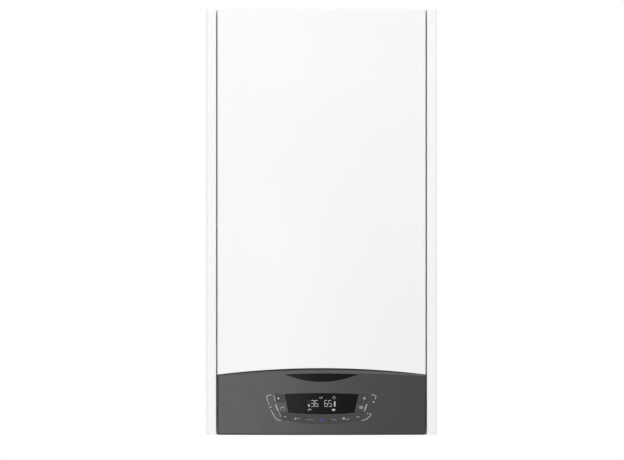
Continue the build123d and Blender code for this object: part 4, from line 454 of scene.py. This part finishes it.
def printed(name, strokes, body, finish, proud=0.0, depth=0.00007):
    # strokes are (width, closed, [(x, z), ...]) in millimetres, laid on the bowed front
    curve = bpy.data.curves.new(name, "CURVE")
    curve.dimensions = "3D"
    curve.bevel_depth = pen["halfWidth"] * mm
    curve.bevel_resolution = pen["roundness"]
    curve.use_fill_caps = True
    for width, closed, points in strokes:
        spline = curve.splines.new("POLY")
        spline.points.add(len(points) - 1)
        spline.use_cyclic_u = closed
        for point, (x, z) in zip(spline.points, points):
            point.co = (x * mm, 0, z * mm, 1)
            point.radius = width
    holder = bpy.data.objects.new(name + "Curve", curve)
    bpy.context.scene.collection.objects.link(holder)
    bpy.context.view_layer.update()
    mesh = bpy.data.meshes.new_from_object(holder.evaluated_get(bpy.context.evaluated_depsgraph_get()))
    bpy.data.objects.remove(holder)
    bm = bmesh.new()
    bm.from_mesh(mesh)
    bmesh.ops.remove_doubles(bm, verts=bm.verts, dist=pen["weld"])
    thick = max(abs(v.co.y) for v in bm.verts)
    bmesh.ops.scale(bm, vec=(1, depth / thick, 1), verts=bm.verts)
    for v in bm.verts:
        v.co.y += frontAt(v.co.x, proud)
    bmesh.ops.recalc_face_normals(bm, faces=bm.faces)
    bm.to_mesh(mesh)
    bm.free()
    mesh.name = name
    piece = bpy.data.objects.new(name, mesh)
    bpy.context.scene.collection.objects.link(piece)
    mesh.materials.clear()
    mesh.materials.append(finish)
    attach(piece, body)


def ring(x, z, radius, width, start=0, end=360, steps=20):
    closed = end - start >= 360
    angles = [math.radians(start + (end - start) * i / steps) for i in range(steps + (not closed))]
    return (width, closed, [(x + radius * math.cos(a), z + radius * math.sin(a)) for a in angles])


def dashes(x, z, count, length, gap, width):
    starts = [x + i * (length + gap) for i in range(count)]
    return [(width, False, [(left, z), (left + length, z)]) for left in starts]


def cross(x, z, size, width):
    return [(width, False, [(x - size, z), (x + size, z)]), (width, False, [(x, z - size), (x, z + size)])]


tap = {"spout": [(-0.50, -0.30), (-0.43, 0.02), (-0.18, 0.22), (0.12, 0.26), (0.48, 0.26)],
       "body": [(0.28, 0.06), (0.48, 0.06)], "bodyWidth": 1.5}


def tapSign(x, z, size, width):
    spout = [(x + a * size, z + b * size) for a, b in tap["spout"]]
    body = [(x + a * size, z + b * size) for a, b in tap["body"]]
    return [(width, False, spout), (width * tap["bodyWidth"], False, body)]


radiator = {"bars": (-2, -1, 0, 1, 2), "pitch": 0.22, "barReach": 0.38, "rails": (-0.25, 0.25),
            "railReach": 0.5, "railWidth": 0.7}


def radiatorSign(x, z, size, width):
    tall, wide = radiator["barReach"] * size, radiator["railReach"] * size
    across = [x + i * radiator["pitch"] * size for i in radiator["bars"]]
    levels = [z + level * size for level in radiator["rails"]]
    bars = [(width, False, [(bar, z - tall), (bar, z + tall)]) for bar in across]
    railWidth = width * radiator["railWidth"]
    rails = [(railWidth, False, [(x - wide, level), (x + wide, level)]) for level in levels]
    return bars + rails


# the display: digits of seven segments, level bars and small marks

display = {"digits": [("3", -18.1), ("6", -11.3), ("6", 5.4), ("5", 12.3)], "foot": 49.6, "height": 10.8,
           "width": 5.1, "stroke": 0.75, "gap": 0.4, "barWidth": 1.5,
           "leftBars": (-23.4, -20.3, 50.4, 1.9, 2), "rightBars": (21.5, 24.2, 50.4, 1.85, 5),
           "tap": (-20.5, 43.8, 5.2, 0.8), "radiator": (20.9, 43.9, 4.6, 0.7), "unlitDepth": 0.00005}
segmentsOf = {"3": "abcdg", "5": "acdfg", "6": "acdefg"}
litMarks = [
    (0.5, True, [(21.7, 68.0), (24.5, 65.1), (21.7, 62.3), (18.9, 65.1)]),
    (1.1, False, [(18.9, 65.1), (20.0, 65.1)]),
    (1.5, False, [(-3.5, 64.9), (-2.5, 64.9)]),
    (0.8, False, [(-1.4, 63.7), (0.1, 64.7), (0.9, 67.0)]),
]
unlitMarks = [
    (0.5, True, [(-23.9, 54.4), (-23.9, 60.6), (-19.9, 60.6), (-19.9, 54.4)]),
    (0.9, False, [(16.0, 43.9), (17.6, 43.9)]),
]


def digitStrokes(shape, left):
    foot, top = display["foot"], display["foot"] + display["height"]
    middle, right, gap = (foot + top) / 2, left + display["width"], display["gap"]
    bars = {"a": [(left + gap, top), (right - gap, top)],
            "b": [(right, top - gap), (right, middle + gap)],
            "c": [(right, middle - gap), (right, foot + gap)],
            "d": [(left + gap, foot), (right - gap, foot)],
            "e": [(left, middle - gap), (left, foot + gap)],
            "f": [(left, top - gap), (left, middle + gap)],
            "g": [(left + gap, middle), (right - gap, middle)]}
    return [(display["stroke"], False, bars[name]) for name in segmentsOf[shape]]


def levelBars(left, right, foot, pitch, count):
    heights = [foot + pitch * i for i in range(count)]
    return [(display["barWidth"], False, [(left, z), (right, z)]) for z in heights]


litInk = paleInk("litSegments", (0.60, 0.60, 0.59), 0.16)
dimInk = paleInk("dimSegments", (0.06, 0.06, 0.06))
paintInk = paleInk("paleInk", (0.55, 0.55, 0.50))
softInk = paleInk("softInk", (0.45, 0.45, 0.42))
# a pale grey ink for the painted highlight lines along the black inlays' edges
rimHighlightInk = paleInk("paintedRimHighlight", (0.12, 0.12, 0.118))
blueInk = paleInk("blueInk", (0.05, 0.075, 0.36), 0.08)

lit = [stroke for shape, left in display["digits"] for stroke in digitStrokes(shape, left)]
lit += levelBars(*display["leftBars"]) + levelBars(*display["rightBars"])
lit += tapSign(*display["tap"]) + radiatorSign(*display["radiator"]) + litMarks
printed("displayDigits", lit, "control_panel", litInk)
printed("displayUnlit", unlitMarks, "control_panel", dimInk, depth=display["unlitDepth"])
print("display made")


# painted highlights: pale lines along the edges of the two black inlays, standing in for the light caught on
# their edges; then lines printed on the panel, signs on it and on its keys

# where the painted highlight lines run: the lens's slanting sides, its foot and the badge's lower arc
rimHighlights = {"lensSide": [(65.6, 71.3), (58.2, 38.3)], "lensFoot": (58.2, 38.2, 2.9),
        "badge": (60.5, 103.9, 12.1), "steps": 24, "width": 0.7, "depth": 0.0002}


def sagging(half, z, fall):
    # an even curve from -half to half, lowest in the middle
    places = [2 * i / rimHighlights["steps"] - 1 for i in range(rimHighlights["steps"] + 1)]
    return [(half * t, z - fall * (1 - t * t)) for t in places]


highlightPaths = [[(side * x, z) for x, z in rimHighlights["lensSide"]] for side in (-1, 1)]
highlightPaths += [sagging(*rimHighlights["lensFoot"]), sagging(*rimHighlights["badge"])]
highlightLines = [(rimHighlights["width"], False, path) for path in highlightPaths]
# the painted highlight lines, laid on the bowed front
printed("paintedInlayHighlights", highlightLines, "control_panel", rimHighlightInk, depth=rimHighlights["depth"])

panelLines = [
    (1.0, False, [(-85.6, 70.2), (-93.6, 69.0), (-95.2, 67.6), (-94.9, 64.6), (-92.9, 58.0), (-89.7, 51.8)]),
    (1.1, False, [(-91.3, 47.4), (-89.5, 47.4), (-86.1, 50.4)]),
    (1.0, False, [(-87.3, 43.4), (-84.0, 36.4), (-80.2, 30.2), (-77.4, 27.3), (-74.0, 25.6), (-69.4, 25.2)]),
    (0.8, False, [(-82.6, 69.5), (-81.4, 62.6), (-79.8, 57.0)]),
    (1.7, False, [(-79.6, 53.4), (-77.6, 48.0), (-74.6, 41.6)]),
    (0.8, False, [(-73.4, 39.6), (-70.0, 32.4), (-66.6, 28.2)]),
    (1.0, False, [(86.2, 70.2), (92.2, 69.2), (94.2, 67.6), (94.3, 65.4), (93.1, 61.8)]),
    (1.7, False, [(88.6, 57.6), (91.6, 57.6)]),
    (1.7, False, [(78.6, 53.4), (76.4, 47.6), (73.9, 41.6)]),
    (1.3, False, [(79.0, 37.7), (81.2, 37.5)]),
    (1.0, False, [(83.2, 36.8), (86.0, 36.6), (85.6, 34.6), (82.2, 31.2), (78.0, 28.0), (74.0, 26.4),
                  (69.0, 25.5)]),
]
printed("panelLines", panelLines, "control_panel", paintInk)

panelSigns = {
    "waterSign": tapSign(-67.8, 46.8, 6.6, 1.0),
    "heatingSign": radiatorSign(68.8, 48.0, 6.2, 0.7),
}
for name, strokes in panelSigns.items():
    printed(name, strokes, "control_panel", softInk, bow["keyProud"])

keySigns = {
    "water_plus": (cross(-74.8, 63.6, 2.5, 1.1), paintInk),
    "heating_plus": (cross(74.4, 63.6, 2.5, 1.1), paintInk),
    "water_minus": ([(1.1, False, [(-65.6, 31.8), (-60.8, 31.8)])], softInk),
    "heating_minus": ([(1.1, False, [(60.8, 31.8), (66.0, 31.8)])], softInk),
    "reset": ([ring(-44.8, 28.8, 1.3, 0.9, 50, 350, 14)] + dashes(-42.4, 28.8, 2, 2.1, 0.8, 0.9), paintInk),
    "comfort": (dashes(-27.2, 26.9, 6, 1.8, 0.6, 0.7), softInk),
    "power": ([ring(0.4, 26.6, 2.1, 1.0, 125, 415, 20), (1.0, False, [(0.4, 27.1), (0.4, 29.4)])], blueInk),
    "menu": (dashes(16.9, 27.0, 3, 2.2, 0.8, 0.7) + [(0.7, False, [(14.0, 29.6), (14.8, 29.6)])], softInk),
    "schedule": ([ring(38.3, 29.0, 1.6, 0.8), (0.7, False, [(38.3, 29.9), (38.3, 28.9), (39.0, 28.5)])]
                 + dashes(41.6, 27.6, 3, 1.8, 0.7, 0.8), paintInk),
}
for key, (strokes, inkUsed) in keySigns.items():
    printed(key + "Sign", strokes, key, inkUsed, bow["keyProud"])
print("signs and printed lines made")


# turned pieces: threaded tails, screws with a star recess, lip seals

turning = {"weld": 1e-6, "sharpFrom": 35}


def spun(outline, steps):
    # outline: (radius, height) in millimetres, turned about the upright axis
    bm = bmesh.new()
    corners = [bm.verts.new((r * mm, 0, h * mm)) for r, h in outline]
    edges = [bm.edges.new(pair) for pair in zip(corners, corners[1:])]
    bmesh.ops.spin(bm, geom=corners + edges, cent=(0, 0, 0), axis=(0, 0, 1), dvec=(0, 0, 0),
                   angle=math.tau, steps=steps, use_merge=True)
    bmesh.ops.remove_doubles(bm, verts=bm.verts, dist=turning["weld"])
    return bm


def gather(whole, part, at, facing=(0, 0, 1)):
    bmesh.ops.recalc_face_normals(part, faces=part.faces)
    turn = Vector((0, 0, 1)).rotation_difference(Vector(facing)).to_matrix().to_4x4()
    part.transform(Matrix.Translation([v * mm for v in at]) @ turn)
    held = bpy.data.meshes.new("held")
    part.to_mesh(held)
    part.free()
    whole.from_mesh(held)
    bpy.data.meshes.remove(held)


def finishPiece(name, whole, body, slot, replaced=()):
    mesh = bpy.data.meshes.new(name)
    whole.to_mesh(mesh)
    whole.free()
    mesh.shade_smooth()
    mesh.set_sharp_from_angle(angle=math.radians(turning["sharpFrom"]))
    mesh.materials.append(finishes[slot])
    piece = bpy.data.objects.new(name, mesh)
    bpy.context.scene.collection.objects.link(piece)
    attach(piece, body)
    if replaced:
        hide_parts(*replaced)
    print(name, "made:", len(mesh.polygons), "faces")


tails = {"places": [(-134, 13.2), (-67, 10.5), (0, 13.2), (67, 10.5), (134, 13.2)], "y": -130,
         "foot": 6, "top": 50, "wall": 3.0, "chamfer": 0.5, "lip": 0.4, "steps": 48}
thread = {"start": 7.0, "pitch": 1.8, "turns": 10, "depth": 1.0, "crest": (0.40, 0.60), "runOut": (1.5, 2.5)}


def threadedTail(radius):
    foot, top, pitch = tails["foot"], tails["top"], thread["pitch"]
    root, bore = radius - thread["depth"], radius - tails["wall"]
    outline = [(bore + tails["chamfer"], foot), (root - tails["lip"], foot), (root, foot + tails["chamfer"])]
    for turn in range(thread["turns"]):
        z = thread["start"] + turn * pitch
        outline += [(root, z)] + [(radius, z + share * pitch) for share in thread["crest"]]
    end = thread["start"] + thread["turns"] * pitch
    clear, full = thread["runOut"]
    outline += [(root, end), (root, end + clear), (radius, end + full), (radius, top), (bore, top)]
    outline += [(bore, foot + tails["chamfer"]), outline[0]]
    return spun(outline, tails["steps"])


nut = {"low": 40.0, "high": 48.0, "flange": 4.8, "overlap": 1.0, "sides": 6, "cuts": 7, "hole": 48,
       "flatShare": 0.88, "chamfer": 0.55}


def hexNut(radius):
    outside, centre = radius + nut["flange"], (nut["low"] + nut["high"]) / 2 * mm
    bm = bmesh.new()
    outer = bmesh.ops.create_circle(bm, segments=nut["sides"], radius=outside * mm)["verts"]
    rim = list({edge for vert in outer for edge in vert.link_edges})
    bmesh.ops.subdivide_edges(bm, edges=rim, cuts=nut["cuts"])
    rim = list(bm.edges)
    inner = bmesh.ops.create_circle(bm, segments=nut["hole"], radius=(radius - nut["overlap"]) * mm)["verts"]
    hole = list({edge for vert in inner for edge in vert.link_edges})
    bmesh.ops.bridge_loops(bm, edges=rim + hole)
    bmesh.ops.translate(bm, vec=(0, 0, nut["low"] * mm), verts=bm.verts)
    bmesh.ops.solidify(bm, geom=list(bm.faces), thickness=(nut["high"] - nut["low"]) * mm)
    middle = sum(v.co.z for v in bm.verts) / len(bm.verts)
    bmesh.ops.translate(bm, vec=(0, 0, centre - middle), verts=bm.verts)
    # the ends are chamfered to a circle, as on a turned nut
    for v in bm.verts:
        over = math.hypot(v.co.x, v.co.y) - outside * nut["flatShare"] * mm
        if over > 0:
            v.co.z -= math.copysign(over * nut["chamfer"], v.co.z - centre)
    return bm


def connectionTails():
    whole = bmesh.new()
    for x, radius in tails["places"]:
        gather(whole, threadedTail(radius), (x, tails["y"], 0))
        gather(whole, hexNut(radius), (x, tails["y"], 0))
    finishPiece("threadedTails", whole, "casing", "brass", ["connection_tails"])


# a screw is (place, facing, height of its head, length of its shank)

screws = {"head": 3.5, "shank": 1.95, "tip": 0.5, "steps": 36, "points": 6, "star": (1.3, 0.2), "recess": 1.0,
          "dome": [(1.0, 0.35), (0.93, 0.7), (0.75, 0.95), (0.58, 1.0)],
          "casing": [((-150, -14, 725.2), (0, 0, 1), 1.6, 11.0), ((150, -14, 725.2), (0, 0, 1), 1.6, 11.0),
                     ((-176.8, -285, 712), (0, -1, 0), 1.6, 9.8), ((176.8, -285, 712), (0, -1, 0), 1.6, 9.8),
                     ((-100, -3.5, 57), (0, -1, 0), 1.6, 3.4), ((100, -3.5, 57), (0, -1, 0), 1.6, 3.4)],
          "cover": [((-164, -294, 119), (0, 0, -1), 2.0, 6.8), ((164, -294, 119), (0, 0, -1), 2.0, 6.8)]}


def starScrew(height, length):
    head, shank, tip = screws["head"], screws["shank"], screws["tip"]
    radius, wave = screws["star"]
    outline = [(0, -length), (shank - tip, -length), (shank, tip - length), (shank, 0), (head, 0)]
    outline += [(across * head, up * height) for across, up in screws["dome"]]
    bm = spun(outline, screws["steps"])
    rim = [edge for edge in bm.edges if edge.is_boundary]
    star = bmesh.ops.create_circle(bm, segments=screws["steps"], radius=radius * mm)["verts"]
    for v in star:
        angle = math.atan2(v.co.y, v.co.x)
        reach = radius + wave * math.cos(screws["points"] * angle)
        v.co = Vector((math.cos(angle), math.sin(angle), 0)) * reach * mm
        v.co.z = height * mm
    mouth = list({edge for v in star for edge in v.link_edges})
    bmesh.ops.bridge_loops(bm, edges=rim + mouth)
    wall = bmesh.ops.extrude_edge_only(bm, edges=mouth)["geom"]
    sunk = [v for v in wall if isinstance(v, bmesh.types.BMVert)]
    bmesh.ops.translate(bm, vec=(0, 0, -screws["recess"] * mm), verts=sunk)
    foot = [edge for edge in wall if isinstance(edge, bmesh.types.BMEdge)]
    bmesh.ops.holes_fill(bm, edges=foot, sides=0)
    return bm


def screwSet(name, places, body, node):
    whole = bmesh.new()
    for at, facing, height, length in places:
        gather(whole, starScrew(height, length), at, facing)
    finishPiece(name, whole, body, "zinc_screw", [node])


seals = {"at": (0, -140, 0), "steps": 72,
         "flueSeal": [(30.2, 721), (30.2, 730), (29.7, 730.6), (28.8, 729.4), (29.5, 727.6),
                      (28.8, 725.8), (29.4, 724), (29.4, 721), (30.2, 721)],
         "airSeal": [(49.9, 724), (49.9, 734), (49.3, 734.6), (48.2, 733.3), (49.1, 731.2),
                     (48.2, 729.1), (49.1, 727), (49.1, 724), (49.9, 724)]}


def lipSeals():
    for name in ("flueSeal", "airSeal"):
        whole = bmesh.new()
        gather(whole, spun(seals[name], seals["steps"]), seals["at"])
        finishPiece(name, whole, "casing", "rubber_black")


connectionTails()
screwSet("starScrews", screws["casing"], "casing", "casing_screws")
screwSet("coverStarScrews", screws["cover"], "cover", "cover_screws")
lipSeals()


# camera, light and floor

view = {"x": -0.0165, "z": 0.3556, "plane": -0.306, "distance": 12.0, "width": 1.0824,
        "sensor": 36, "far": 60}


def addCamera():
    camera = bpy.data.objects.new("camera", bpy.data.cameras.new("camera"))
    bpy.context.scene.collection.objects.link(camera)
    camera.location = (view["x"], view["plane"] - view["distance"], view["z"])
    camera.rotation_euler = (math.radians(90), 0, 0)
    camera.data.sensor_width = view["sensor"]
    camera.data.lens = view["sensor"] * view["distance"] / view["width"]
    camera.data.clip_end = view["far"]
    bpy.context.scene.camera = camera


lamps = {
    "leftSoftbox": {"at": (-1.22, -3.1, 0.5), "aim": (-1.22, 0, 0.5), "size": (2.2, 2.2), "power": 32},
    "rightFill": {"at": (1.6, -1.8, 2.0), "aim": (0, -0.2, 0.5), "size": (1.4, 1.4), "power": 18},
    "topLamp": {"at": (-0.1, -2.3, 2.9), "aim": (0, -0.3, 0.3), "size": (2.4, 1.4), "power": 20},
    "rearLamp": {"at": (-1.2, 3.0, 1.5), "aim": (0, -0.2, 0.38), "size": (2.4, 2.0), "power": 30},
}


def addLamps():
    for name, lamp in lamps.items():
        data = bpy.data.lights.new(name, "AREA")
        data.shape = "RECTANGLE"
        data.size, data.size_y = lamp["size"]
        data.energy = lamp["power"]
        made = bpy.data.objects.new(name, data)
        bpy.context.scene.collection.objects.link(made)
        made.location = lamp["at"]
        aim = Vector(lamp["aim"]) - made.location
        made.rotation_euler = aim.to_track_quat("-Z", "Y").to_euler()
        made.visible_camera = False


sky = {"light": 0.48, "mirrored": 0.85, "backdrop": 1.0}


def addWorld():
    world = bpy.data.worlds.new("studio")
    world.use_nodes = True
    bpy.context.scene.world = world
    tree = world.node_tree
    base = tree.nodes["Background"]
    base.inputs["Color"].default_value = (1, 1, 1, 1)
    path = addNode(tree, "LightPath")
    seen = addNode(tree, "Math", {"operation": "MAXIMUM"}, i0=path.outputs["Is Camera Ray"],
                   i1=path.outputs["Is Transmission Ray"]).outputs[0]
    glossy = path.outputs["Is Glossy Ray"]
    gloss = spread(tree, glossy, sky["light"], sky["mirrored"], fromLow=0.0, fromHigh=1.0)
    shine = addNode(tree, "Mix", i0=seen, i2=gloss, i3=sky["backdrop"]).outputs[0]
    tree.links.new(shine, base.inputs["Strength"])


floor = {"z": -0.5, "half": 2.6, "colour": (0.86, 0.86, 0.86), "roughness": 0.9, "glow": 0.13,
         "fadeStart": 1.2, "fadeEdge": 0.1}


def addFloor():
    bm = bmesh.new()
    bmesh.ops.create_grid(bm, x_segments=1, y_segments=1, size=floor["half"])
    bmesh.ops.translate(bm, vec=(0, 0, floor["z"]), verts=bm.verts)
    mesh = bpy.data.meshes.new("studioFloor")
    bm.to_mesh(mesh)
    bm.free()
    made = bpy.data.objects.new("studioFloor", mesh)
    bpy.context.scene.collection.objects.link(made)
    material, tree, shader = startSurface("studioFloor", floor["colour"], floor["roughness"],
                                          Specular_IOR_Level=0.0)
    path = addNode(tree, "LightPath")
    place = addNode(tree, "TexCoord").outputs["Object"]
    glow = addNode(tree, "Math", {"operation": "MULTIPLY"}, i0=path.outputs["Is Camera Ray"],
                   i1=floor["glow"])
    tree.links.new(glow.outputs[0], shader.inputs["Emission Strength"])
    shader.inputs["Emission Color"].default_value = (1, 1, 1, 1)
    # it fades out before its edge, and is clear from below
    far = addNode(tree, "VectorMath", {"operation": "LENGTH"}, i0=place).outputs["Value"]
    fade = spread(tree, far, 0.0, 1.0, fromLow=floor["fadeStart"], fromHigh=floor["half"] - floor["fadeEdge"])
    under = addNode(tree, "NewGeometry").outputs["Backfacing"]
    clear = addNode(tree, "Math", {"operation": "MAXIMUM"}, i0=fade, i1=under).outputs[0]
    through = addNode(tree, "BsdfTransparent").outputs[0]
    mixed = addNode(tree, "MixShader", i0=clear, i1=shader.outputs[0], i2=through)
    tree.links.new(mixed.outputs[0], tree.nodes["Material Output"].inputs["Surface"])
    mesh.materials.append(material)


addCamera()
addLamps()
addWorld()
addFloor()
bpy.context.scene.view_settings.view_transform = "Standard"
print("camera, lamps and floor set")
